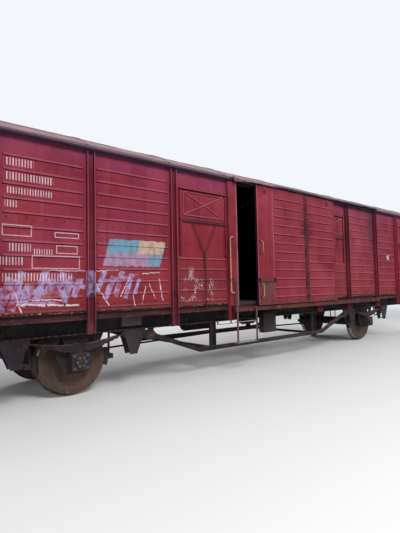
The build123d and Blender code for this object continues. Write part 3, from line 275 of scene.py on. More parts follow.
class Coat(Tree):
    """A procedural material under construction: tones laid over each other by masks."""

    def __init__(self, name):
        self.material = bpy.data.materials.new(name)
        self.material.use_nodes = True
        super().__init__(self.material.node_tree)
        self.place = self.value("ShaderNodeTexCoord", output="Object")
        parts = self.node("ShaderNodeSeparateXYZ", {"Vector": self.place}).outputs
        self.x, self.y, self.z = (Value(self, part) for part in parts)

    @functools.cached_property
    def up(self):
        """How far a face looks up."""
        normal = self.value("ShaderNodeTexCoord", output="Normal")
        return self.value("ShaderNodeSeparateXYZ", {"Vector": normal}, 2)

    @functools.cached_property
    def along(self):
        """How far a point lies from the wagon's middle towards either end."""
        return abs(self.x)

    @functools.cached_property
    def out(self):
        """How far a point lies from the wagon's middle towards either side."""
        return abs(self.y)

    @functools.cached_property
    def near(self):
        """A mask of the near side wall."""
        return self.y.step(-1.28, -1.29)

    @functools.cached_property
    def near_half(self):
        """A mask of the wagon's near half."""
        return self.y.step(0.01, -0.01)

    def stretched(self, stretch, shift):
        """The place on the piece, scaled along each axis and then shifted."""
        inputs = {0: self.place, 1: stretch, 2: shift}
        return self.value("ShaderNodeVectorMath", inputs, operation="MULTIPLY_ADD")

    def noise(self, scale, detail=3.0, roughness=0.55, stretch=(1.0, 1.0, 1.0), shift=0.0):
        place = self.stretched(stretch, (shift, shift * 0.7, shift * 0.4))
        return self.value("ShaderNodeTexNoise", {
            "Vector": place, "Scale": scale, "Detail": detail, "Roughness": roughness,
        })

    def cells(self, scale, shift=0.0, stretch=(1.0, 1.0, 1.0)):
        """Distance from the nearest of many scattered points."""
        place = self.stretched(stretch, (shift, shift * 0.6, shift * 1.3))
        return self.value("ShaderNodeTexVoronoi", {"Vector": place, "Scale": scale}, "Distance")

    def mix(self, factor, first, second):
        """From the first colour to the second by a factor."""
        made = self.node("ShaderNodeMix", {0: factor}, data_type="RGBA")
        for index, tone in ((6, first), (7, second)):
            self.feed(made.inputs[index], tone if isinstance(tone, Value) else (*tone, 1.0))
        return Value(self, made.outputs[2])

    def lay(self, mask, tone):
        """Lays a tone over the colour so far, as far as a mask says."""
        self.colour = self.mix(mask, self.colour, tone)

    def weather(self, base, faded, deep, streaks, rust, spots, dust_and_highlight=0.4):
        """Old paint: fading, clouds, vertical runs, dust, grime and rust, with dust and a painted highlight on
        faces that look up, painted shade on faces that look down, and its roughness and height.
        """
        colours = bpy.context.scene.wagon_paint
        wear_and_shading = colours.wear_and_shading
        cloud = self.noise(2.6, 6, 0.62, shift=3.1)
        grain = self.noise(85, 4, 0.7)
        runs = self.noise(1, 5, 0.6, stretch=(11, 11, 0.55), shift=1.7)
        chalk = self.noise(1, 4, stretch=(19, 19, 0.9), shift=8.3)
        self.colour = self.mix(self.noise(0.6, 2).step(0.38, 0.64), base, faded)
        self.lay(cloud.step(0.48, 0.72) * 0.55, deep)
        self.lay(runs.step(0.52, 0.72) * (streaks * wear_and_shading), deep)
        self.lay(chalk.step(0.58, 0.82) * (0.22 * wear_and_shading), colours.dust_and_highlight)
        self.lay(grain.step(0.35, 0.75) * 0.16, [c * 0.45 for c in deep])
        # Dust and a painted highlight on faces that look up, such as the tops of the ribs
        self.lay(self.up.step(0.2, 0.9) * (dust_and_highlight * wear_and_shading), colours.dust_and_highlight)
        # Painted shade on faces that look down, such as the undersides of the ribs
        self.lay(self.up.step(-0.2, -0.8) * (0.85 * wear_and_shading), [c * 0.25 for c in deep])
        rusty = self.noise(7.5, 7, 0.68, shift=5.5).step(0.60, 0.68) * (rust * wear_and_shading)
        flecks = self.cells(38, shift=2.2).step(0.16, 0.07) * cloud.step(0.46, 0.6, 0.0, spots)
        rust_tone = self.mix(self.noise(33, 4, shift=1.1), colours.rust, srgb(128, 72, 46))
        self.lay(rusty | flecks, rust_tone)
        self.roughness = (grain * 0.4 + cloud * 0.6).step(0.3, 0.7, 0.52, 0.82)
        self.height = grain * 0.35 + rusty * -0.8 + cloud * 0.5

    def flats(self, out, face, tone, share):
        """A painted highlight: a paler tone on the flats of the ribs that stand out to a distance from the
        middle.
        """
        flat = out.step(face - 0.004, face - 0.001) * out.step(face + 0.004, face + 0.002)
        self.lay(flat * share, tone)

    def under_eaves(self):
        """The bluish top of the side walls, with painted shade close under the roof's eave and over the doorway.
        """
        side = self.out.step(*WALL_SIDE)
        self.lay(side * self.z.step(3.10, 3.44, 0, 0.2), srgb(96, 58, 88))
        # Painted shade close under the roof's eave
        self.lay(side * self.z.step(3.43, 3.49, 0, 0.7), SHADE)
        # Painted shade on the cantrail over the doorway, under the hood
        self.lay(self.along.step(1.232, 1.224) * self.z.step(3.43, 3.435) * 0.95, srgb(22, 20, 32))

    def lining(self):
        """Boards in place of the paint where a sheet looks into the load space."""
        inside = (self.out.step(LINING_OUT + 0.002, LINING_OUT)
                  * self.along.step(LOAD_HALF_LENGTH + 0.002, LOAD_HALF_LENGTH - 0.002))
        board = (self.z * (1 / 0.16)).math("FRACT")
        grain = self.noise(1, 6, stretch=(1.6, 1.6, 55), shift=4)
        wood = self.mix(grain.step(0.3, 0.7), srgb(86, 68, 54), srgb(58, 46, 38))
        self.lay(inside, self.mix(board.step(0.05, 0.02), wood, srgb(14, 11, 10)))

    def on_door(self):
        """Where a point lies along its own door, from the door's middle, on either side of the wagon."""
        return (self.x + self.near_half * -NEAR_DOOR_OPEN) * self.near_half.step(0, 1, -1.0, 1.0)

    def finish(self, depth=0.003, strength=0.5, metallic=0.0, gloss=0.1):
        """Closes the material with its shader and the bump of its height."""
        bump = self.value("ShaderNodeBump", {"Height": self.height, "Distance": depth, "Strength": strength})
        shader = self.value("ShaderNodeBsdfPrincipled", {
            "Base Color": self.colour, "Roughness": self.roughness, "Metallic": metallic,
            "Specular IOR Level": gloss, "Normal": bump,
        })
        self.node("ShaderNodeOutputMaterial", {"Surface": shader})
        return self.material


def assign(material, *nodes):
    """Gives CAD nodes a material in place of their own."""
    for name in nodes:
        slots = frame["nodes"][name].data.materials
        slots.clear()
        slots.append(material)


# Rows of thin white ticks: left, right, low, high, ticks per metre
TICK_ROWS = (
    (-5.15, -4.82, 3.095, 3.190, 28),
    (-5.16, -4.57, 2.915, 3.010, 28),
    (-5.15, -4.57, 2.745, 2.825, 30),
    (-5.16, -5.00, 2.575, 2.660, 30),
    (-5.12, -4.85, 2.030, 2.130, 28),
    (-4.83, -4.57, 2.000, 2.070, 32),
    (-5.21, -4.93, 1.860, 1.960, 28),
    (-5.18, -4.30, 1.660, 1.760, 27),
)
TICK_SHARE = 0.42
# Thin white frames beside them: left, right, low, high
FRAME_BOXES = (
    (-5.19, -4.84, 2.220, 2.360),
    (-4.55, -4.22, 2.230, 2.302),
    (-4.53, -4.24, 2.020, 2.128),
    (-4.84, -4.21, 1.820, 1.988),
)
FRAME_LINE = 0.010
# Parallel strokes of thinned lilac paint: left, low, right, high, half width
LILAC_STROKES = (
    (-5.22, 1.28, -5.08, 1.70, 0.045),
    (-5.08, 1.30, -4.95, 1.78, 0.040),
    (-4.96, 1.34, -4.86, 1.62, 0.050),
    (-4.80, 1.38, -4.66, 1.80, 0.038),
    (-4.68, 1.40, -4.58, 1.66, 0.045),
    (-4.55, 1.46, -4.43, 1.78, 0.035),
    (-4.44, 1.38, -4.32, 1.72, 0.042),
    (-4.30, 1.44, -4.20, 1.70, 0.036),
    (-3.96, 1.50, -3.84, 1.80, 0.030),
    (-3.84, 1.40, -3.70, 1.72, 0.038),
    (-3.68, 1.44, -3.56, 1.80, 0.034),
    (-3.52, 1.40, -3.40, 1.76, 0.032),
    (-3.36, 1.46, -3.28, 1.70, 0.024),
    (-5.22, 1.54, -4.40, 1.50, 0.034),
    (-4.70, 1.67, -4.14, 1.58, 0.028),
    (-5.10, 1.38, -4.50, 1.36, 0.022),
    (-3.94, 1.64, -3.30, 1.73, 0.022),
)
# Thin white strokes between them, given the same way
WHITE_STROKES = (
    (-5.02, 1.37, -4.22, 1.33, 0.010),
    (-4.88, 1.43, -4.45, 1.41, 0.007),
    (-4.62, 1.80, -4.14, 1.79, 0.006),
    (-3.97, 1.80, -3.62, 1.81, 0.006),
    (-3.98, 1.62, -3.78, 1.30, 0.007),
    (-3.60, 1.42, -3.44, 1.72, 0.006),
    (-3.24, 1.30, -3.16, 1.58, 0.006),
    (-3.10, 1.62, -3.00, 1.38, 0.005),
    (-2.92, 1.68, -2.85, 1.34, 0.006),
    (-3.22, 1.76, -2.90, 1.79, 0.006),
    (-3.38, 1.46, -3.36, 1.27, 0.005),
    (-5.06, 1.56, -4.96, 1.26, 0.006),
)
# A plain patch of slanted blocks: colour, left, right, low, high
PATCH_BLOCKS = (
    (srgb(86, 136, 154), -3.80, -3.30, 2.065, 2.262),
    (srgb(164, 146, 128), -3.30, -2.83, 2.065, 2.262),
    (srgb(142, 120, 146), -3.80, -3.06, 1.872, 2.065),
    (srgb(96, 132, 148), -3.06, -2.83, 1.872, 2.065),
)
PATCH_SLANT, PATCH_UPRIGHT_AT = 0.28, 2.12
# A field of white paint flecks, a rubbed smudge over it and a pale blotch: left, right, low, high
FLECKS = (-2.50, -1.80, 1.32, 1.70)
SMUDGE = (-2.32, -2.23, 1.70, 1.86)
BLOTCH = (4.74, 4.86, 2.20, 2.34)


def paint_marks(coat):
    """Old worn marks on the near side in a plain layout: ticks, frames, strokes, flecks and a patch."""
    drift = coat.noise(9, shift=6.2).step(0.3, 0.7, -0.008, 0.008)
    across, up = coat.x + drift, coat.z + drift
    worn = coat.noise(46, 5, 0.7, shift=9.0).step(0.62, 0.48)
    thin = coat.noise(13, 4, 0.6, stretch=(1, 1, 0.5), shift=2.9).step(0.64, 0.42)

    def box(sideways, upwards, left, right, low, high, soft):
        return coat.near * (sideways.band(left, right, soft) * upwards.band(low, high, soft))

    def strokes(table, soft):
        masks = []
        for left, low, right, high, half in table:
            length = math.hypot(right - left, high - low)
            turn_x, turn_z = (right - left) / length, (high - low) / length
            lengthwise = across.math("MULTIPLY_ADD", turn_x, -left * turn_x - low * turn_z)
            lengthwise = up.math("MULTIPLY_ADD", turn_z, lengthwise)
            aside = across.math("MULTIPLY_ADD", turn_z, low * turn_x - left * turn_z)
            aside = abs(up.math("MULTIPLY_ADD", -turn_x, aside))
            masks.append(lengthwise.band(0, length, soft) * aside.step(half + soft, half))
        return coat.near * either(masks)

    slant = across - (up - PATCH_UPRIGHT_AT) * PATCH_SLANT
    for tone, *edges in PATCH_BLOCKS:
        coat.lay(box(slant, up, *edges, 0.006) * thin.step(0, 1, 0.62, 0.95), tone)

    patchy = coat.noise(5.5, 4, 0.6, stretch=(1, 1, 1.6), shift=7.2).step(0.68, 0.46)
    coat.lay(strokes(LILAC_STROKES, 0.012) * (thin.step(0, 1, 0.35, 0.90) * patchy), LILAC)
    coat.lay(strokes(WHITE_STROKES, 0.002) * worn.step(0, 1, 0.1, 0.75), WORN_WHITE)

    marks = []
    for *edges, rate in TICK_ROWS:
        place = coat.x.math("MULTIPLY_ADD", rate, 100.0)
        chance = ((place.math("FLOOR") * 12.9898).math("SINE") * 437.58).math("FRACT")
        tick = place.math("FRACT").math("LESS_THAN", TICK_SHARE) * chance.step(0.1, 0.6, 0.7, 1.0)
        marks.append(box(coat.x, coat.z, *edges, 0.003) * tick)
    for left, right, low, high in FRAME_BOXES:
        inside = (left + FRAME_LINE, right - FRAME_LINE, low + FRAME_LINE, high - FRAME_LINE)
        marks.append(box(coat.x, coat.z, left, right, low, high, 0.003) - box(coat.x, coat.z, *inside, 0.003))
    coat.lay(either(marks) * worn.step(0, 1, 0.42, 0.6), WORN_WHITE)

    crowd = coat.noise(6.5, shift=11.3).step(0.44, 0.60)
    chips = coat.noise(58, 2, 0.5, stretch=(1, 1, 0.45), shift=3.6).step(0.545, 0.60)
    coat.lay(box(across, up, *FLECKS, 0.05) * (crowd * (chips * 0.75)), WORN_WHITE)
    rubbed = box(across, up, *SMUDGE, 0.04) * 0.4 | box(across, up, *BLOTCH, 0.03)
    coat.lay(rubbed * thin, srgb(196, 168, 176))


def wall_material():
    """Oxide red of the wall sheets, with marks, corroded lower edge and boards on the inside."""
    colours = bpy.context.scene.wagon_paint
    coat = Coat("wall_paint")
    hatch_bay = coat.along.band(*DOOR_HATCH, 0.01)
    blotches = coat.noise(1.9, 5, 0.6, shift=12.1).step(0.50, 0.66, 0, 0.6)
    warm = coat.z.step(2.2, 1.35) | hatch_bay * coat.z.step(2.80, 2.55, 0, 0.8) | blotches
    coat.weather(coat.mix(warm, colours.wall, colours.wall_low),
                 coat.mix(warm, colours.wall_faded, srgb(130, 47, 52)), srgb(84, 20, 34), 0.42, 0.16, 0.45)
    # Painted highlight on the flats of the wall's ribs
    coat.flats(coat.out, SHEET_OUT + RIB_RISE, RIB_HIGHLIGHT, 0.45)
    coat.flats(coat.along, FRAME_END + RIB_RISE, RIB_HIGHLIGHT, 0.45)
    foot = coat.z.step(1.42, 1.24, 0, 0.6) | hatch_bay * coat.z.step(2.05, 1.70, 0, 0.35)
    coat.lay(foot, srgb(84, 38, 42))
    paint_marks(coat)
    rods = either([abs(coat.along - x).step(0.070, 0.015) for x in HATCHES_X])
    dribble = coat.noise(9, 5, stretch=(1, 1, 0.5), shift=8.1).step(0.40, 0.62)
    coat.lay(rods * coat.z.step(2.22, 2.06) * dribble * 0.8, srgb(66, 40, 42))
    smear = coat.near * coat.x.band(3.72, 4.0, 0.12) * coat.z.step(1.9, 3.1)
    coat.lay(smear * 0.72, srgb(58, 34, 50))
    ragged = coat.noise(5.5, 6, 0.7, stretch=(1, 1, 2.2), shift=7.7)
    corroded = coat.z.step(SHEET_LOW, SHEET_LOW + 0.11, 1.0, 0.0) - ragged
    scab = corroded.step(0.02, 0.20)
    coat.lay(scab * 0.6, srgb(104, 52, 48))
    coat.lay(corroded.step(0.34, 0.44) * 0.85, srgb(28, 18, 20))
    chips = coat.noise(38, stretch=(0.5, 0.5, 1), shift=5.2).step(0.60, 0.66)
    pale = scab * chips * coat.noise(1.3, 2, shift=2.2).step(0.4, 0.6, 0.2, 0.7)
    coat.lay(pale, srgb(176, 152, 142))
    coat.under_eaves()
    coat.lining()
    coat.height += scab * -1.2
    return coat.finish()


def post_material():
    """Darker red of the posts, paler along the fronts of their legs with wear and a painted highlight, with
    painted shade in the recess by the sheet and two sooty posts on the right of the near side.
    """
    coat = Coat("post_paint")
    coat.weather(srgb(102, 26, 40), srgb(118, 42, 56), srgb(60, 16, 28), 0.6, 0.25, 0.5)
    recess = coat.out.step(SHEET_OUT + 0.030, SHEET_OUT + 0.006) * coat.out.step(1.32, 1.325)
    # Painted shade in the recess where the post meets the sheet
    coat.lay(recess * 0.35, srgb(62, 18, 34))
    # Paler fronts of the legs: wear and a painted highlight
    coat.lay(coat.out.band(POST_OUT - 0.002, POST_OUT + 0.006, 0.001) * 0.6, srgb(146, 78, 92))
    coat.lay(coat.z.step(1.75, 1.10, 0, 0.55), srgb(64, 30, 36))
    coat.lay(coat.z.step(1.22, 1.05) * coat.noise(6, 4, shift=2).step(0.4, 0.62, 0.1, 0.7), srgb(106, 56, 62))

    def on_post(x):
        return coat.x.band(x - POST_REACH, x + POST_REACH)

    smear = on_post(-POSTS_X[1]) * coat.z.band(1.44, 1.80, 0.02)
    veil = coat.noise(11, 4, 0.6, shift=2.9).step(0.60, 0.44, 0.1, 0.7)
    coat.lay(coat.near * (smear * veil), LILAC)
    coat.lay(coat.near * coat.x.step(5.1, 5.15) * 0.45, srgb(138, 44, 62))
    third = on_post(POSTS_X[0]) * coat.z.step(1.95, 2.25, 0.35, 0.68)
    fourth = on_post(POSTS_X[1]) * coat.z.step(2.2, 3.0, 0.1, 0.4)
    soot = coat.noise(3, 4, stretch=(1, 1, 0.6), shift=4.4).step(0.3, 0.5, 0.6, 0.95)
    coat.lay(coat.near * (third | fourth) * soot, srgb(46, 28, 38))
    coat.under_eaves()
    return coat.finish()


def portal_material():
    """Flat strips beside the doorway: wall red above, brighter below, pale along the opening, with a painted
    shadow of the grab rail.
    """
    coat = Coat("portal_paint")
    base = coat.mix(coat.z.step(2.45, 1.60), srgb(102, 28, 40), srgb(122, 34, 38))
    coat.weather(base, srgb(118, 38, 48), srgb(66, 18, 28), 0.5, 0.2, 0.6, 0.2)
    front = coat.out.step(POST_OUT - 0.003, POST_OUT - 0.001)
    rubbed = front * coat.along.step(1.262, 1.236) * coat.noise(5, 4, shift=3.5).step(0.3, 0.6, 0.2, 0.6)
    coat.lay(rubbed, srgb(150, 92, 106))
    # Painted shadow of the grab rail down the strip
    coat.lay(coat.along.band(1.335, 1.362, 0.01) * coat.z.step(2.6, 2.3) * 0.45, srgb(60, 26, 32))
    coat.under_eaves()
    return coat.finish()


def door_material():
    """Faded red of the door leaves, with a rusty middle post, pale edges and a bleached low corner, and with a
    painted highlight on the rib flats and painted shade along the top under the hood and on the leaves' ends.
    """
    coat = Coat("door_paint")
    coat.weather(srgb(116, 32, 46), srgb(130, 44, 58), srgb(84, 20, 34), 0.45, 0.25, 0.7, 0.5)
    along = coat.on_door()
    # Painted highlight on the flats of the door's ribs
    coat.flats(coat.out, DOOR_FACE + RIB_RISE, srgb(150, 76, 88), 0.2)
    front = coat.out.step(DOOR_FACE - 0.004, DOOR_FACE - 0.002)
    edges = ((-1.337, -1.310), (-0.872, -0.846), (1.276, 1.296))
    pale = either([along.band(left, right, 0.004) for left, right in edges])
    coat.lay(front * (pale * 0.32), srgb(158, 88, 102))
    place = along + coat.noise(8, 4, shift=3.3).step(0.3, 0.7, -0.035, 0.035)
    coat.lay(place.band(0.10, 0.36, 0.08) * coat.z.band(2.50, 3.05, 0.2) * 0.5, srgb(74, 26, 36))
    rubbed = coat.z.band(2.800, 2.860, 0.02) | coat.z.band(2.625, 2.690, 0.02)
    blurred = coat.noise(12, 4, stretch=(0.6, 1, 2.4), shift=1.9).step(0.30, 0.48)
    smudges = place.band(0.03, 0.44, 0.09) * rubbed * blurred
    coat.lay((place.band(0.188, 0.292, 0.02) | smudges) * 0.88, srgb(50, 21, 31))
    low = along.band(-1.33, -0.84, 0.05) * coat.z.band(1.15, 1.64, 0.05)
    bleached = coat.noise(7, 5, stretch=(1, 1, 0.5), shift=6.1).step(0.36, 0.60, 0.35, 0.9)
    coat.lay(low * bleached, srgb(82, 54, 52))
    foot = coat.z.step(1.34, 1.20) * coat.noise(6, 5, shift=3.9).step(0.40, 0.56)
    coat.lay(foot * 0.75, srgb(78, 42, 42))
    # Painted shade along the top of the leaf, under the hood
    coat.lay(coat.z.step(3.36, 3.45) * 0.55, srgb(84, 28, 46))
    # Painted shade on the end faces of the leaf
    coat.lay(abs(along).step(DOOR_HALF - 0.0015, DOOR_HALF - 0.0005) * 0.92, srgb(24, 15, 24))
    specks = coat.cells(6.5, shift=3.7).step(0.13, 0.07) * coat.noise(3, shift=5.9).step(0.5, 0.6)
    coat.lay(front * (specks * 0.7), srgb(60, 24, 36))
    return coat.finish(strength=0.55)


def shutter_material():
    """Red of the hatch shutters, with a painted highlight on their ridges, a painted shadow on the rail under the
    plate and dark dribbles under the yoke.
    """
    coat = Coat("shutter_paint")
    coat.weather(srgb(108, 28, 44), srgb(124, 40, 54), srgb(76, 18, 32), 0.5, 0.2, 0.5)
    plate = coat.z.step(SHUTTER_BOTTOM + 0.01, SHUTTER_BOTTOM + 0.02)
    # Painted highlight on the shutter's ridges
    coat.lay(plate * coat.out.step(1.3485, 1.3510) * 0.36, srgb(158, 84, 98))
    rail = coat.z.step(SHUTTER_BOTTOM + 0.001, SHUTTER_BOTTOM) * coat.z.step(ROD_TOP, ROD_TOP + 0.003)
    # Painted shadow on the rail under the shutter plate
    coat.lay(rail * 0.85, srgb(40, 20, 30))
    lower_edge = rail * coat.z.step(SHUTTER_BOTTOM - 0.019, SHUTTER_BOTTOM - 0.022)
    coat.lay(lower_edge * 0.35, srgb(120, 76, 88))
    rod = coat.out.step(1.3495, 1.3500) * coat.z.step(ROD_TOP + 0.004, ROD_TOP)
    coat.lay(rod * coat.noise(16, 4, shift=2.4).step(0.35, 0.6, 0.35, 0.9), srgb(64, 30, 36))
    return coat.finish(0.002)


def roof_material():
    """Grey weathered roof sheet, with rust and bright and dark lines along its edges, and painted shade on its
    edge strips and on faces that look down.
    """
    colours = bpy.context.scene.wagon_paint
    coat = Coat("roof_paint")
    coat.weather(colours.roof, srgb(176, 168, 160), srgb(112, 98, 92), 0.2, 0.5, 0.8, 0.2)
    out = coat.out + coat.x.step(-5.2, -3.8, 0.0, 0.035)
    patches = coat.noise(3.2, 5, shift=4.8)
    ragged = out + patches.step(0.25, 0.75, -0.30, 0.30)
    coat.lay(ragged.step(0.70, 1.05) * patches.step(0.32, 0.52, 0.55, 0.95), colours.roof_edge)
    coat.lay(out.band(1.10, 1.30, 0.04) * patches.step(0.38, 0.58, 0.4, 0.9), srgb(148, 126, 134))
    coat.lay(out.band(1.302, 1.338, 0.004) * 0.85, srgb(70, 44, 58))
    coat.lay(out.step(1.340, 1.343) * 0.9, srgb(98, 76, 88))
    # Painted shade on the roof's edge strips
    coat.lay(out.step(1.402, 1.408) * 0.9, EAVE_SHADE)
    # Painted shade on the lower part of the edge strips' outer face
    coat.lay(coat.out.step(1.398, 1.4005) * coat.z.step(3.497, 3.491), srgb(46, 28, 46))
    # Painted shade on faces that look down, under the eave
    coat.lay(coat.up.step(-0.1, -0.4) * 0.95, EAVE_SHADE)
    return coat.finish()


def hood_material():
    """Hood over the doors: faded pink near the doorway's left post, with painted shade on its lip's face further
    on, pale along its bend.
    """
    coat = Coat("hood_paint")
    coat.weather(srgb(116, 88, 98), srgb(130, 104, 112), srgb(78, 52, 62), 0.5, 0.4, 0.8, 0.5)
    along = coat.x * coat.near_half.step(0, 1, -1.0, 1.0)
    ragged = coat.noise(7, 4, shift=2.6).step(0.3, 0.7, -0.1, 0.1)
    # Painted shade on the outer face of the lip
    shaded_lip_face = coat.out.step(1.466, 1.473) * (along + ragged).step(-0.36, -0.12)
    coat.lay(shaded_lip_face * 0.95, srgb(36, 22, 34))
    lip = coat.z.step(HOOD_LOW + 0.022, HOOD_LOW + 0.006)
    coat.lay(lip * coat.noise(9, 5, shift=1.4).step(0.35, 0.55, 0.2, 0.8), srgb(66, 38, 46))
    bend = coat.out.band(1.455, 1.4735, 0.002) * coat.z.step(3.532, 3.540)
    coat.lay(bend * 0.7, srgb(150, 138, 136))
    return coat.finish(strength=0.6)


def frame_material():
    """Dusty black of the underframe, brown with rust, and grey with dust and a painted highlight on what looks
    up.
    """
    coat = Coat("frame_paint")
    coat.weather(bpy.context.scene.wagon_paint.frame, srgb(50, 46, 50), srgb(18, 16, 22), 0.5, 0.5, 0.8, 0.5)
    coat.lay(coat.noise(4.2, 6, 0.66, shift=5.1).step(0.50, 0.66) * 0.45, srgb(78, 54, 44))
    return coat.finish(strength=0.7)


def sill_material():
    """The lower strip of the walls: red paint that flakes to brown steel, with painted shade along its top under
    the wall sheets.
    """
    coat = Coat("sill_paint")
    coat.weather(srgb(56, 27, 33), srgb(78, 40, 45), srgb(28, 16, 21), 0.6, 0.6, 0.8)
    # Painted shade along the top, under the wall sheets
    coat.lay(coat.z.step(1.178, 1.190) * 0.9, srgb(24, 18, 21))
    dark = coat.noise(5.2, 6, 0.68, stretch=(1, 1, 1.8), shift=9.4).step(0.48, 0.62)
    coat.lay(dark * 0.7, srgb(34, 22, 26))
    edge = coat.z.step(1.16, 1.135) * coat.noise(8, 6, shift=6.6).step(0.42, 0.56)
    coat.lay(edge * 0.8, srgb(82, 48, 44))
    pale = coat.cells(5.5, shift=1.5, stretch=(1, 1, 0.4)).step(0.08, 0.03)
    coat.lay(pale * 0.5, srgb(160, 122, 122))
    return coat.finish(0.004, 0.8)


def worn_steel_material():
    """Brown steel rubbed bright where hands and boots go."""
    coat = Coat("worn_steel")
    coat.weather(srgb(62, 45, 45), srgb(80, 62, 59), srgb(38, 28, 29), 0.4, 0.6, 0.8, 0.2)
    rubbed = coat.up.step(0.6, 0.95) * coat.noise(14, 4, shift=2.7).step(0.28, 0.42)
    coat.lay(rubbed * 0.9, srgb(206, 198, 190))
    coat.roughness = rubbed.step(0, 1, 0.68, 0.42)
    return coat.finish(0.002, gloss=0.3)


def handle_material():
    """Pale worn handles and grab rails; the hanger plates are red and the lock bar is rusty."""
    coat = Coat("handle_paint")
    coat.weather(srgb(160, 114, 108), srgb(184, 144, 134), srgb(104, 62, 60), 0.3, 0.4, 0.8, 0.3)
    clouds = coat.noise(21, 4, shift=1.8).step(0.35, 0.65)
    coat.lay(coat.z.step(3.29, 3.31), coat.mix(clouds, srgb(118, 34, 48), srgb(98, 28, 42)))
    middle, half = sum(HANGERS_X) / 2, (HANGERS_X[1] - HANGERS_X[0]) / 2
    reach = distance(abs(coat.on_door() - middle) - half, coat.z - HANGER_Z)
    coat.lay(reach.step(0.030, 0.022), srgb(44, 16, 24))
    lock = coat.z.band(1.618, 1.69, 0.004) * coat.out.band(1.430, 1.464, 0.001)
    coat.lay(lock, coat.mix(clouds, srgb(88, 50, 44), srgb(58, 34, 34)))
    return coat.finish(0.001, 0.4)


def wheel_material():
    """Rusty cast wheels with bright treads and dark grease round the journals."""
    coat = Coat("wheel_steel")
    coat.weather(srgb(56, 44, 39), srgb(74, 56, 46), srgb(36, 29, 26), 0.2, 0.6, 0.9, 0.15)
    reach = distance(coat.along - AXLE_X, coat.z - AXLE_Z)
    tread = reach.band(0.494, 0.506, 0.002) * coat.out.band(0.716, 0.80)
    coat.lay(tread, srgb(150, 148, 146))
    coat.lay(reach.step(0.17, 0.10) * 0.7, srgb(30, 26, 24))
    coat.height += reach.band(0.425, 0.436, 0.002) * -1.5
    coat.roughness = tread.step(0, 1, 0.75, 0.32)
    return coat.finish(0.004, 0.7, metallic=tread * 0.9, gloss=0.3)


def floor_board_material():
    """Grey trodden floor boards laid across the wagon."""
    coat = Coat("floor_boards")
    grain = coat.noise(1, 6, 0.65, stretch=(48, 1.3, 48), shift=2.0)
    place = coat.x * (1 / 0.15)
    board = place.math("FRACT")
    tone = ((place.math("FLOOR") * 12.9).math("SINE") * 43.7).math("FRACT")
    coat.colour = coat.mix(tone, srgb(84, 70, 60), srgb(66, 54, 46))
    coat.lay(grain.step(0.35, 0.7), srgb(62, 50, 42))
    gap = board.step(0.035, 0.015) | board.step(0.965, 0.985)
    coat.lay(gap, srgb(16, 13, 12))
    coat.lay(coat.noise(2.4, 6, shift=4.6).step(0.45, 0.65) * 0.5, srgb(70, 60, 52))
    coat.lay(coat.out.step(1.10, 1.27) * 0.8, srgb(56, 40, 44))
    coat.height = grain * 0.4 + gap * -2.0
    coat.roughness = 0.85
    return coat.finish(strength=0.7)


# Materials with nothing laid over their weather: three tones, streaks, rust, spots, dust and painted highlight on
# faces that look up, depth and strength
PLAIN_MATERIALS = {
    # Dark navy that stands as painted shade on the door rails under the hoods; the lashing rings share it
    "rail_paint": ((24, 23, 34), (36, 34, 46), (14, 13, 20), 0.4, 0.3, 0.5, 0.2, 0.002, 0.5),
    "blank_plate": ((74, 71, 76), (94, 88, 90), (46, 43, 47), 0.4, 0.4, 0.7, 0.3, 0.001, 0.4),
    "wall_fasteners": ((84, 26, 40), (98, 34, 48), (52, 18, 28), 0.2, 0.3, 0.4, 0.1, 0.001, 0.4),
}


def plain_material(name):
    *tones, streaks, rust, spots, dust_and_highlight, depth, strength = PLAIN_MATERIALS[name]
    coat = Coat(name)
    coat.weather(*(srgb(*tone) for tone in tones), streaks, rust, spots, dust_and_highlight)
    return coat.finish(depth, strength)


# Geometry Nodes

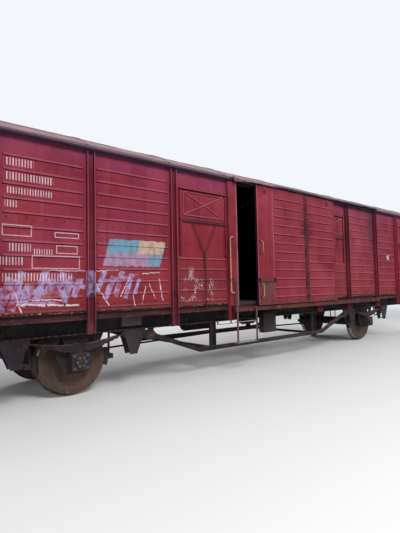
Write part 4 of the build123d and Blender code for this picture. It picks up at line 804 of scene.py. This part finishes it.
class Pattern(Tree):
    """A Geometry Nodes tree under construction, with named inputs for its sizes and its material."""

    def __init__(self, name, sizes):
        super().__init__(bpy.data.node_groups.new(name, "GeometryNodeTree"))
        sockets = self.tree.interface
        sockets.new_socket("Geometry", in_out="OUTPUT", socket_type="NodeSocketGeometry")
        sockets.new_socket("Geometry", in_out="INPUT", socket_type="NodeSocketGeometry")
        for label, default in sizes.items():
            kind = "NodeSocketInt" if isinstance(default, int) else "NodeSocketFloat"
            sockets.new_socket(label, in_out="INPUT", socket_type=kind).default_value = default
        sockets.new_socket("Material", in_out="INPUT", socket_type="NodeSocketMaterial")
        self.start = {socket.name: Value(self, socket) for socket in self.node("NodeGroupInput").outputs}

    def join(self, *parts):
        joined = self.node("GeometryNodeJoinGeometry")
        for part in parts:
            self.feed(joined.inputs[0], part)
        return Value(self, joined.outputs[0])

    def ball(self, segments, rings, radius):
        inputs = {"Segments": segments, "Rings": rings, "Radius": radius}
        return self.value("GeometryNodeMeshUVSphere", inputs)

    def smooth(self, mesh):
        return self.value("GeometryNodeSetShadeSmooth", {0: mesh})

    def spaced(self):
        """Points at a pitch along the edges of the source mesh."""
        curve = self.value("GeometryNodeMeshToCurve", {"Mesh": self.start["Geometry"]})
        return self.value("GeometryNodeCurveToPoints", {"Curve": curve, "Length": self.start["Pitch"]},
                          mode="LENGTH")

    def along_rows(self, head):
        """Heads at a pitch along the edges of the source mesh, and one on each of its loose points."""
        joined_to = self.value("GeometryNodeInputMeshVertexNeighbors")
        alone = self.value("FunctionNodeCompare", {2: joined_to, 3: 0}, data_type="INT", operation="EQUAL")
        single = self.value("GeometryNodeMeshToPoints", {"Mesh": self.start["Geometry"], "Selection": alone})
        places = self.join(self.spaced(), single)
        facing = self.value("GeometryNodeInputNamedAttribute", {"Name": "facing"}, data_type="FLOAT_VECTOR")
        turn = self.value("FunctionNodeAlignRotationToVector", {"Vector": facing}, axis="Z")
        inputs = {"Points": places, "Instance": head, "Rotation": turn}
        return self.value("GeometryNodeInstanceOnPoints", inputs)

    def close(self, geometry):
        """Realizes the instances, gives them the material input and ends the tree."""
        real = self.value("GeometryNodeRealizeInstances", {0: geometry})
        dressed = self.value("GeometryNodeSetMaterial", {"Geometry": real, "Material": self.start["Material"]})
        self.node("NodeGroupOutput", {0: dressed})
        return self.tree


def rivet_pattern():
    """Low round heads along rows."""
    pattern = Pattern("rivet_rows", {"Pitch": 0.1, "Head Radius": 0.011, "Head Rise": 0.6})
    flat = pattern.value("ShaderNodeCombineXYZ", {0: 1.0, 1: 1.0, 2: pattern.start["Head Rise"]})
    ball = pattern.ball(8, 5, pattern.start["Head Radius"])
    head = pattern.value("GeometryNodeTransform", {"Geometry": ball, "Scale": flat})
    return pattern.close(pattern.along_rows(pattern.smooth(head)))


def bolt_pattern():
    """Hexagonal heads on round washers along rows."""
    pattern = Pattern("bolt_rows", {"Pitch": 0.3, "Head Radius": 0.014, "Head Height": 0.010,
                                    "Washer Height": 0.003})
    radius, high, thin = (pattern.start[label] for label in ("Head Radius", "Head Height", "Washer Height"))
    lift = pattern.value("ShaderNodeCombineXYZ", {2: high.math("MULTIPLY_ADD", 0.5, thin)})
    hexagon = pattern.value("GeometryNodeMeshCylinder", {"Vertices": 6, "Radius": radius, "Depth": high})
    raised = pattern.value("GeometryNodeTransform", {"Geometry": hexagon, "Translation": lift})
    washer = pattern.value("GeometryNodeMeshCylinder", {"Vertices": 12, "Radius": radius * 1.45,
                                                        "Depth": thin * 2.0})
    return pattern.close(pattern.along_rows(pattern.join(raised, washer)))


def weld_pattern():
    """A bead of overlapping ripples along rows, each a little different from the next."""
    pattern = Pattern("weld_beads", {"Pitch": 0.016, "Bead Radius": 0.006, "Seed": 4})
    ripple = pattern.smooth(pattern.ball(6, 3, pattern.start["Bead Radius"]))
    size = pattern.value("FunctionNodeRandomValue", {
        "Min": (0.8, 0.8, 1.3), "Max": (1.15, 1.15, 1.7), "Seed": pattern.start["Seed"],
    }, data_type="FLOAT_VECTOR")
    return pattern.close(pattern.value("GeometryNodeInstanceOnPoints", {
        "Points": pattern.spaced(), "Instance": ripple, "Scale": size,
    }))


def row_mesh(name, rows):
    """A mesh with one edge per row, or one point where its ends are the same, that keeps how each row faces."""
    points, edges, facings = [], [], []
    for start, end, facing in rows:
        points.append(start)
        facings.append(facing)
        if start != end:
            points.append(end)
            facings.append(facing)
            edges.append((len(points) - 2, len(points) - 1))
    mesh = bpy.data.meshes.new(name)
    mesh.from_pydata(points, edges, [])
    store = mesh.attributes.new("facing", "FLOAT_VECTOR", "POINT")
    store.data.foreach_set("vector", [c for facing in facings for c in facing])
    return mesh


def spot(x, y, z, facing):
    """A row of one head."""
    return (x, y, z), (x, y, z), facing


def link(name, data):
    piece = bpy.data.objects.new(name, data)
    bpy.context.scene.collection.objects.link(piece)
    return piece


def baked(piece):
    """Turns what a piece's modifiers make of it into its plain mesh."""
    depsgraph = bpy.context.evaluated_depsgraph_get()
    mesh = bpy.data.meshes.new_from_object(piece.evaluated_get(depsgraph), depsgraph=depsgraph)
    piece.modifiers.clear()
    piece.data = mesh
    if not mesh.polygons:
        raise RuntimeError(f"{piece.name} came out with no faces")


def mounted(piece, body):
    """A finished piece that rides on a body."""
    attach(piece, body)
    return piece


def patterned(name, rows, tree, sizes, material, body):
    """A piece made by a Geometry Nodes tree along rows, as a plain mesh that rides on a body."""
    piece = link(name, row_mesh(name, rows))
    modifier = piece.modifiers.new(tree.name, "NODES")
    modifier.node_group = tree
    given = {"Material": material, **sizes}
    for item in tree.interface.items_tree:
        if item.in_out == "INPUT" and item.name in given:
            modifier[item.identifier] = given[item.name]
    baked(piece)
    return mounted(piece, body)


# Plain meshes

def meshed(name, build, material, body):
    """A piece from mesh code, with its faces outwards, riding on a body."""
    shape = bmesh.new()
    build(shape)
    bmesh.ops.remove_doubles(shape, verts=shape.verts, dist=1e-6)
    bmesh.ops.recalc_face_normals(shape, faces=shape.faces)
    mesh = bpy.data.meshes.new(name)
    shape.to_mesh(mesh)
    shape.free()
    mesh.polygons.foreach_set("use_smooth", [True] * len(mesh.polygons))
    mesh.set_sharp_from_angle(angle=math.radians(35))
    mesh.materials.append(material)
    return mounted(link(name, mesh), body)


def slab(shape, low, high):
    """A rectangular plate between two corners, with eased edges."""
    made = bmesh.ops.create_cube(shape, size=1.0)["verts"]
    low, high = Vector(low), Vector(high)
    for vertex in made:
        vertex.co = (low + high) / 2 + Vector(a * b for a, b in zip(vertex.co, high - low))
    edges = list(dict.fromkeys(edge for vertex in made for edge in vertex.link_edges))
    bmesh.ops.bevel(shape, geom=edges, offset=0.002, segments=2, profile=0.6, affect="EDGES")


def circle(sides):
    """The cosine and sine of each corner of a ring."""
    angles = [2 * math.pi * step / sides for step in range(sides)]
    return [(math.cos(angle), math.sin(angle)) for angle in angles]


def skin(shape, rings, closed=False):
    """Faces from each ring of points to the next, and over both ends unless the last ring meets the first."""
    for ring, following in zip(rings, rings[1:] + rings[:1] if closed else rings[1:]):
        for step in range(len(ring)):
            after = (step + 1) % len(ring)
            shape.faces.new((ring[step], ring[after], following[after], following[step]))
    if not closed:
        shape.faces.new(rings[0])
        shape.faces.new(rings[-1])


def turned(shape, profile, place, axis, sides=16):
    """A solid turned from (distance along, radius) pairs about an axis through a place."""
    axis = Vector(axis).normalized()
    across = axis.orthogonal().normalized()
    other = axis.cross(across)
    rings = []
    for along, radius in profile:
        middle = Vector(place) + axis * along
        rings.append([shape.verts.new(middle + (across * a + other * b) * radius) for a, b in circle(sides)])
    skin(shape, rings)


def bar(shape, path, radius, sides=8, closed=False):
    """A round bar along a path, with a ring of points at each of its points."""
    points = [Vector(point) for point in path]
    last = len(points) - 1
    rings = []
    for number, point in enumerate(points):
        if closed:
            before, after = points[number - 1], points[(number + 1) % len(points)]
        else:
            before, after = points[max(number - 1, 0)], points[min(number + 1, last)]
        way = (after - before).normalized()
        side = way.cross(Vector((0.31, 0.17, 0.93))).normalized()
        other = way.cross(side)
        rings.append([shape.verts.new(point + (side * a + other * b) * radius) for a, b in circle(sides)])
    skin(shape, rings, closed)


# Operators

class WAGON_OT_paint_body(bpy.types.Operator):
    """Paint the walls, posts, sills and shutters"""

    bl_idname = "wagon.paint_body"
    bl_label = "Paint body"

    def execute(self, context):
        assign(wall_material(), "side_panels", "hatch_panels", "end_walls", "cantrails")
        assign(post_material(), "side_posts", "corner_posts", "end_posts", "hatch_guides", "guide_lips")
        assign(portal_material(), "door_portals")
        assign(sill_material(), "side_sills", "bottom_tracks", "track_brackets")
        assign(shutter_material(), *(name for name in frame["nodes"] if "shutter" in name))
        return {"FINISHED"}


class WAGON_OT_paint_doors(bpy.types.Operator):
    """Paint the door leaves, their fittings and the grab rails"""

    bl_idname = "wagon.paint_doors"
    bl_label = "Paint doors"

    def execute(self, context):
        assign(door_material(), "near_door", "far_door")
        assign(handle_material(), "near_door_fittings", "far_door_fittings", "grab_rails")
        return {"FINISHED"}


class WAGON_OT_paint_roof(bpy.types.Operator):
    """Paint the roof, its bows and its edge strips"""

    bl_idname = "wagon.paint_roof"
    bl_label = "Paint roof"

    def execute(self, context):
        assign(roof_material(), "roof", "roof_bows", "roof_edges")
        return {"FINISHED"}


class WAGON_OT_paint_underframe(bpy.types.Operator):
    """Paint the underframe, running gear, steps, buffers, door rails and floor"""

    bl_idname = "wagon.paint_underframe"
    bl_label = "Paint underframe"

    def execute(self, context):
        assign(frame_material(), "solebars", "headstocks", "cross_bearers", "centre_sills", "outriggers",
               "truss_bars", "queen_posts", "axleboxes", "axle_guards", "leaf_springs", "spring_brackets",
               "shackles", "brake_blocks", "brake_beams", "brake_cylinder", "air_reservoir", "brake_rods",
               "brake_pipe", "equipment_boxes", "hatch_grilles")
        # The door rails' dark paint is painted shade under the hoods
        assign(plain_material("rail_paint"), "door_rails")
        assign(worn_steel_material(), "door_ladders", "corner_steps", "buffer_housings", "buffer_heads",
               "draw_hooks", "screw_couplings")
        assign(wheel_material(), "wheelset_a", "wheelset_b")
        assign(floor_board_material(), "floor")
        return {"FINISHED"}


class WAGON_OT_build_hoods(bpy.types.Operator):
    """Build the bent sheet hoods over the sliding doors"""

    bl_idname = "wagon.build_hoods"
    bl_label = "Build door hoods"

    LEFT, RIGHT, STEPS, THICKNESS = -1.344, 3.994, 120, 0.004
    # Section from the cantrail out and down: distance out, height, shares of the sag and of the lip's bend
    SECTION = (
        (1.3390, 3.5485, 0.0, 0.0), (1.440, 3.5480, 0.5, 0.0), (1.466, 3.5450, 1.0, 0.0),
        (1.4745, 3.5345, 1.0, 0.1), (1.4752, 3.514, 0.6, 0.6), (1.4752, 3.4915, 0.0, 1.0),
    )
    # Cheeks close the ends down to the roof, clear of the door rail: distance out, height
    CHEEK = ((1.432, 3.500), (1.402, 3.500), (1.370, 3.520))
    # Places along the near hood, and how far its bend sags there
    SAGS = (
        (-1.344, 0.004), (-0.9, 0.006), (-0.2, 0.005), (0.05, 0.0), (0.75, 0.0), (1.1, 0.006), (1.6, 0.014),
        (2.0, 0.013), (2.5, 0.006), (3.2, 0.003), (3.994, 0.006),
    )
    # The near hood's left end hangs down: where the droop starts, its length and its depth
    DROOP_START, DROOP_LENGTH, DROOP_DEPTH = -0.86, 0.484, 0.052

    def sag(self, x):
        for (start, low), (end, high) in zip(self.SAGS, self.SAGS[1:]):
            if x <= end:
                return low + (high - low) * max(0.0, x - start) / (end - start)
        return self.SAGS[-1][1]

    def bend(self, x, amount):
        wave = 0.5 * math.sin(2.1 * x + 0.4) + 0.3 * math.sin(5.3 * x + 1.9) + 0.2 * math.sin(11.7 * x)
        droop = self.DROOP_DEPTH * max(0.0, (self.DROOP_START - x) / self.DROOP_LENGTH) ** 0.8
        return amount * max(wave, 0.0) - droop

    def build(self, shape):
        dent = bpy.context.scene.wagon_hardware.hood_dent
        for turn in (1, -1):
            rows = []
            for step in range(self.STEPS + 1):
                x = self.LEFT + (self.RIGHT - self.LEFT) * step / self.STEPS
                rise = self.bend(x, dent) if turn == 1 else self.bend(x + 7.0, dent * 0.4)
                drop = self.sag(x) if turn == 1 else 0.5 * self.sag(2.6 - x)
                rows.append([
                    shape.verts.new((turn * x, -turn * out, height - drop * sunk + rise * bent))
                    for out, height, sunk, bent in self.SECTION
                ])
            for row, following in zip(rows, rows[1:]):
                for a, b, c, d in zip(row, row[1:], following[1:], following):
                    shape.faces.new((a, b, c, d))
            for row, x in ((rows[0], self.LEFT), (rows[-1], self.RIGHT)):
                inner = [shape.verts.new((turn * x, -turn * out, height)) for out, height in self.CHEEK]
                shape.faces.new((*row, *inner))

    def execute(self, context):
        piece = meshed("hood_sheets", self.build, hood_material(), "wagon")
        sheet = piece.modifiers.new("sheet", "SOLIDIFY")
        sheet.thickness = self.THICKNESS
        sheet.offset = 0
        parent = piece.parent
        piece.parent = None
        baked(piece)
        piece.parent = parent
        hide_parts("door_hoods")
        return {"FINISHED"}


class WAGON_OT_build_rivets(bpy.types.Operator):
    """Build the rivets of the underframe"""

    bl_idname = "wagon.build_rivets"
    bl_label = "Build rivets"

    # Rows along the solebars and across the headstocks: how far they reach, and their heights
    SOLEBAR_REACH, SOLEBAR_ROWS = 6.25, (0.914, 1.186)
    HEADSTOCK_REACH, HEADSTOCK_ROWS = 1.24, (0.93, 1.17)
    # Upright rows on the headstocks: their places and their ends
    UPRIGHTS_Y, UPRIGHT_LOW, UPRIGHT_HIGH = (-1.25, -0.70, -0.20, 0.20, 0.70, 1.25), 0.95, 1.16

    def execute(self, context):
        sizes = context.scene.wagon_hardware
        rows = []
        for height, side in product(self.SOLEBAR_ROWS, BOTH):
            place = (side * SOLEBAR_OUT, height)
            rows.append(((-self.SOLEBAR_REACH, *place), (self.SOLEBAR_REACH, *place), (0, side, 0)))
        for end in BOTH:
            face, facing = end * FRAME_END, (end, 0, 0)
            for height in self.HEADSTOCK_ROWS:
                rows.append(((face, -self.HEADSTOCK_REACH, height), (face, self.HEADSTOCK_REACH, height), facing))
            for y in self.UPRIGHTS_Y:
                rows.append(((face, y, self.UPRIGHT_LOW), (face, y, self.UPRIGHT_HIGH), facing))
        patterned("frame_rivets", rows, rivet_pattern(),
                  {"Pitch": sizes.frame_pitch, "Head Radius": sizes.rivet_radius, "Head Rise": 0.55},
                  bpy.data.materials["frame_paint"], "wagon")
        return {"FINISHED"}


class WAGON_OT_build_bolts(bpy.types.Operator):
    """Build the bolts of the wall lining, doors, axleboxes, buffers and draw gear"""

    bl_idname = "wagon.build_bolts"
    bl_label = "Build bolts"

    SMALL = {"Head Radius": 0.009, "Head Height": 0.006, "Washer Height": 0.002}
    LINING_SPANS = ((-5.14, -4.18), (-3.94, -2.76), (2.76, 3.94), (4.18, 5.14))
    LINING_ROWS = (2.450, 1.345)
    # On a door: round each hanger and in two rows down its middle post, with the thickness of their plates
    HANGER_BOLTS, HANGER_PLATE = (HANGERS_X, (-0.025, 0.025), (3.352, 3.402)), 0.008
    POST_ROWS_X, POST_LOW, POST_HIGH, POST_PLATE = (0.203, 0.273), 1.25, 3.40, 0.010
    # On an axlebox: at its corners and round its cover, with how far out they are
    BOX_BOLTS, BOX_OUT = ((-0.095, 0.095), (-0.085, 0.085)), 1.110
    COVER_RADIUS, COVER_OUT = 0.062, 1.132
    # On a headstock: round each buffer and round the draw hook, with the thickness of their plates
    BUFFER_BOLTS, BUFFER_PLATE = ((-BUFFER_Y, BUFFER_Y), (-0.145, 0.145), (-0.105, 0.105)), 0.022
    DRAW_BOLTS, DRAW_PLATE = ((-0.12, 0.12), (-0.08, 0.08)), 0.018

    def execute(self, context):
        tree = bolt_pattern()
        wall = plain_material("wall_fasteners")
        rows = []
        for (left, right), height, turn in product(self.LINING_SPANS, self.LINING_ROWS, (1, -1)):
            place = (-turn * SHEET_OUT, height)
            rows.append(((turn * left, *place), (turn * right, *place), (0, -turn, 0)))
        patterned("lining_bolts", rows, tree, {"Pitch": 0.23, **self.SMALL}, wall, "wagon")

        for name, turn, shift in DOORS:
            face, facing = -turn * (DOOR_FACE + self.HANGER_PLATE), (0, -turn, 0)
            rows = [spot(turn * (x + dx + shift), face, z, facing) for x, dx, z in product(*self.HANGER_BOLTS)]
            for x in self.POST_ROWS_X:
                place = (turn * (x + shift), -turn * (DOOR_FACE + self.POST_PLATE))
                rows.append(((*place, self.POST_LOW), (*place, self.POST_HIGH), facing))
            patterned(name + "_bolts", rows, tree, {"Pitch": 0.178, **self.SMALL}, wall, name)

        rows = []
        for x, side in product((-AXLE_X, AXLE_X), BOTH):
            face, facing = side * self.BOX_OUT, (0, side, 0)
            rows += [spot(x + dx, face, AXLE_Z + dz, facing) for dx, dz in product(*self.BOX_BOLTS)]
            face, radius = side * self.COVER_OUT, self.COVER_RADIUS
            rows += [spot(x + radius * a, face, AXLE_Z + radius * b, facing) for a, b in circle(6)]
        for end in BOTH:
            face, facing = end * (FRAME_END + self.BUFFER_PLATE), (end, 0, 0)
            rows += [spot(face, y + dy, BUFFER_Z + dz, facing) for y, dy, dz in product(*self.BUFFER_BOLTS)]
            face = end * (FRAME_END + self.DRAW_PLATE)
            rows += [spot(face, y, BUFFER_Z + dz, facing) for y, dz in product(*self.DRAW_BOLTS)]
        radius = context.scene.wagon_hardware.bolt_radius
        patterned("frame_bolts", rows, tree,
                  {"Pitch": 0.2, "Head Radius": radius, "Head Height": 0.011, "Washer Height": 0.003},
                  bpy.data.materials["frame_paint"], "wagon")
        return {"FINISHED"}


class WAGON_OT_build_welds(bpy.types.Operator):
    """Build the weld beads where the posts meet the sheets"""

    bl_idname = "wagon.build_welds"
    bl_label = "Build welds"

    # Beads up the side of each post: the lowest foot, their pitch, length and number
    FOOT, FOOT_PITCH, BEAD_LENGTH, BEADS = 1.26, 0.36, 0.13, 6
    BESIDE, BEAD_RADIUS = 0.001, 0.0045

    def execute(self, context):
        sides = [x + side * (POST_WIDTH / 2 + self.BESIDE) for x, side in product(POSTS_X, BOTH)]
        sides.append(PORTAL_OUTER + self.BESIDE)
        feet = [self.FOOT + self.FOOT_PITCH * step for step in range(self.BEADS)]
        rows = []
        for x, way, turn, foot in product(sides, BOTH, BOTH, feet):
            place = (way * x, turn * SHEET_OUT)
            rows.append(((*place, foot), (*place, foot + self.BEAD_LENGTH), (0, turn, 0)))
        patterned("post_welds", rows, weld_pattern(),
                  {"Pitch": context.scene.wagon_hardware.weld_pitch, "Bead Radius": self.BEAD_RADIUS},
                  bpy.data.materials["post_paint"], "wagon")
        return {"FINISHED"}


class WAGON_OT_build_rings(bpy.types.Operator):
    """Build the lashing rings low on the posts"""

    bl_idname = "wagon.build_rings"
    bl_label = "Build lashing rings"

    RING_Z, RING_RADIUS = 1.475, 0.026
    # The eye that holds a ring: distance out from the ring's top, height
    EYE = (
        (-0.030, 0.010), (-0.008, 0.010), (0.006, 0.006), (0.006, -0.006), (-0.008, -0.012), (-0.030, -0.012),
    )

    def build(self, shape):
        for x, way, turn in product(POSTS_X, BOTH, BOTH):
            top = Vector((way * x, turn * (POST_OUT - 0.022), self.RING_Z))
            ring = [top + Vector((self.RING_RADIUS * a, turn * 0.004 * b, self.RING_RADIUS * (b - 1)))
                    for a, b in circle(20)]
            bar(shape, ring, 0.005, closed=True)
            bar(shape, [top + Vector((0, turn * out, rise)) for out, rise in self.EYE], 0.007)

    def execute(self, context):
        meshed("lashing_rings", self.build, bpy.data.materials["rail_paint"], "wagon")
        return {"FINISHED"}


class WAGON_OT_build_plates(bpy.types.Operator):
    """Build the blank plates on the solebars"""

    bl_idname = "wagon.build_plates"
    bl_label = "Build blank plates"

    PLATES = ((-3.42, -3.08, 0.965, 1.145), (2.96, 3.20, 0.985, 1.125))
    PLATE_OUT = 0.984

    def build(self, shape):
        for turn, (left, right, low, high) in product((1, -1), self.PLATES):
            xs = sorted((turn * left, turn * right))
            ys = sorted((-turn * self.PLATE_OUT, -turn * (SOLEBAR_OUT - 0.006)))
            slab(shape, (xs[0], ys[0], low), (xs[1], ys[1], high))

    def execute(self, context):
        meshed("blank_plates", self.build, plain_material("blank_plate"), "wagon")
        return {"FINISHED"}


class WAGON_OT_build_door_gear(bpy.types.Operator):
    """Build the catch, hasp and handle roses of the sliding doors"""

    bl_idname = "wagon.build_door_gear"
    bl_label = "Build door gear"

    # Blocks on a door's face: left, right, nearest and farthest from the face, low, high
    BLOCKS = (
        (-1.322, -1.292, 0.010, 0.030, 1.610, 1.695),
        (-0.872, -0.848, 0.000, 0.036, 1.618, 1.698),
        (-1.10, -1.04, 0.000, 0.012, 1.585, 1.60),
    )
    HASP_X, HASP_OUT, HASP_RADIUS = -0.86, 0.030, 0.006
    ROSE = ((0.0, 0.028), (0.004, 0.028), (0.006, 0.022))

    def execute(self, context):
        for name, turn, shift in DOORS:
            def place(x, out, z):
                return turn * (x + shift), -turn * (DOOR_FACE + out), z

            def build(shape):
                for left, right, inner, outer, low, high in self.BLOCKS:
                    corners = zip(place(left, inner, low), place(right, outer, high))
                    slab(shape, *zip(*(sorted(pair) for pair in corners)))
                heights = [1.655 - 0.012 * step - 0.02 * math.sin(step * 0.5) for step in range(8)]
                bar(shape, [place(self.HASP_X, self.HASP_OUT, z) for z in heights], self.HASP_RADIUS)
                for z in HANDLE_ENDS:
                    turned(shape, self.ROSE, place(HANDLE_X, 0.0, z), (0, -turn, 0))

            meshed(name + "_gear", build, bpy.data.materials["sill_paint"], name)
        return {"FINISHED"}


class WAGON_OT_set_stage(bpy.types.Operator):
    """Set the floor, the lamps, the surrounding light and the camera"""

    bl_idname = "wagon.set_stage"
    bl_label = "Set stage"

    FLOOR_REACH = 90.0
    # Distances from the wagon's middle between which the floor turns into the pale background
    FADE = (9.0, 27.0)
    # Name, place, point that it looks at, size, share of the key lamp's power
    LAMPS = (
        ("key", (-4.5, -11.5, 9.5), (0.0, -1.4, 1.8), 5.0, 1.0),
        ("side", (9.0, -9.0, 6.0), (3.0, -1.4, 2.0), 6.0, 0.42),
        ("left", (-17.0, -8.5, 6.0), (-4.0, -1.4, 1.8), 6.0, 0.50),
        ("back", (3.0, 11.0, 8.0), (0.0, 1.4, 2.0), 7.0, 0.55),
    )
    # The camera stands where the photograph was taken, seen level with a person's chest
    CAMERA = (-6.4409, -6.5421, 1.5146 + RAIL_TOP)
    YAW, PITCH, ROLL = 0.6968, 0.0515, -0.0202
    SENSOR = 36.0

    def floor(self, colour):
        reach = self.FLOOR_REACH
        mesh = bpy.data.meshes.new("stage_floor")
        mesh.from_pydata([(-reach, -reach, 0), (reach, -reach, 0), (reach, reach, 0), (-reach, reach, 0)], [],
                         [(0, 1, 2, 3)])
        floor = link("stage_floor", mesh)
        pale = bpy.data.materials.new("stage_pale")
        pale.use_nodes = True
        tree = Tree(pale.node_tree)
        shader = tree.value("ShaderNodeBsdfPrincipled", {"Base Color": (*colour, 1), "Roughness": 0.9})
        where = tree.value("ShaderNodeTexCoord", output="Object")
        away = tree.value("ShaderNodeVectorMath", {0: where}, "Value", operation="LENGTH")
        seen = tree.value("ShaderNodeLightPath", output="Is Camera Ray")
        glow = tree.value("ShaderNodeEmission", {"Color": BACKGROUND})
        faded = tree.value("ShaderNodeMixShader", {0: away.step(*self.FADE) * seen, 1: shader, 2: glow})
        tree.node("ShaderNodeOutputMaterial", {"Surface": faded})
        mesh.materials.append(pale)

    def world(self, strength):
        world = bpy.data.worlds.new("stage_world")
        world.use_nodes = True
        tree = Tree(world.node_tree)
        even = tree.value("ShaderNodeBackground", {"Color": (0.93, 0.96, 1.0, 1), "Strength": strength})
        pale = tree.value("ShaderNodeBackground", {"Color": BACKGROUND})
        rays = tree.node("ShaderNodeLightPath").outputs
        seen = Value(tree, rays["Is Camera Ray"]) | Value(tree, rays["Is Glossy Ray"])
        chosen = tree.value("ShaderNodeMixShader", {0: seen, 1: even, 2: pale})
        tree.node("ShaderNodeOutputWorld", {"Surface": chosen})
        return world

    def execute(self, context):
        scene = context.scene
        stage = scene.wagon_stage
        self.floor(stage.floor)
        scene.world = self.world(stage.world_strength)
        for name, place, target, size, share in self.LAMPS:
            data = bpy.data.lights.new("lamp_" + name, "AREA")
            data.shape = "DISK"
            data.size = size
            data.energy = stage.key_energy * share
            lamp = link("lamp_" + name, data)
            lamp.location = place
            lamp.rotation_euler = (Vector(target) - Vector(place)).to_track_quat("-Z", "Y").to_euler()
        data = bpy.data.cameras.new("photo_camera")
        data.sensor_fit = "VERTICAL"
        data.sensor_height = self.SENSOR
        data.lens = self.SENSOR * 400 / 533
        data.clip_end = 400
        camera = link("photo_camera", data)
        camera.location = self.CAMERA
        camera.rotation_mode = "XYZ"
        camera.rotation_euler = Euler((math.pi / 2 + self.PITCH, 0, -self.YAW), "XYZ")
        camera.rotation_euler.rotate_axis("Z", self.ROLL)
        scene.camera = camera
        scene.view_settings.view_transform = "Standard"
        return {"FINISHED"}


OPERATORS = (
    WAGON_OT_paint_body,
    WAGON_OT_paint_doors,
    WAGON_OT_paint_roof,
    WAGON_OT_paint_underframe,
    WAGON_OT_build_hoods,
    WAGON_OT_build_rivets,
    WAGON_OT_build_bolts,
    WAGON_OT_build_welds,
    WAGON_OT_build_rings,
    WAGON_OT_build_plates,
    WAGON_OT_build_door_gear,
    WAGON_OT_set_stage,
)


class WAGON_PT_finish(bpy.types.Panel):
    """Lists the settings and the steps of the finish"""

    bl_idname = "WAGON_PT_finish"
    bl_label = "Covered wagon"
    bl_space_type = "VIEW_3D"
    bl_region_type = "UI"
    bl_category = "Wagon"

    def draw(self, context):
        for group in SETTINGS:
            column = self.layout.column(align=True)
            settings = getattr(context.scene, group)
            for name in settings.bl_rna.properties.keys():
                if name not in ("rna_type", "name"):
                    column.prop(settings, name)
        for operator in OPERATORS:
            self.layout.operator(operator.bl_idname)


CLASSES = (*SETTINGS.values(), *OPERATORS, WAGON_PT_finish)


def register():
    for item in CLASSES:
        bpy.utils.register_class(item)
    for name, group in SETTINGS.items():
        setattr(bpy.types.Scene, name, bpy.props.PointerProperty(type=group))


def unregister():
    for name in SETTINGS:
        delattr(bpy.types.Scene, name)
    for item in reversed(CLASSES):
        bpy.utils.unregister_class(item)


def main():
    """Registers the classes and runs each step in order."""
    register()
    for operator in OPERATORS:
        group, name = operator.bl_idname.split(".")
        getattr(getattr(bpy.ops, group), name)()
    bpy.context.view_layer.update()


if __name__ == "__main__":
    main()
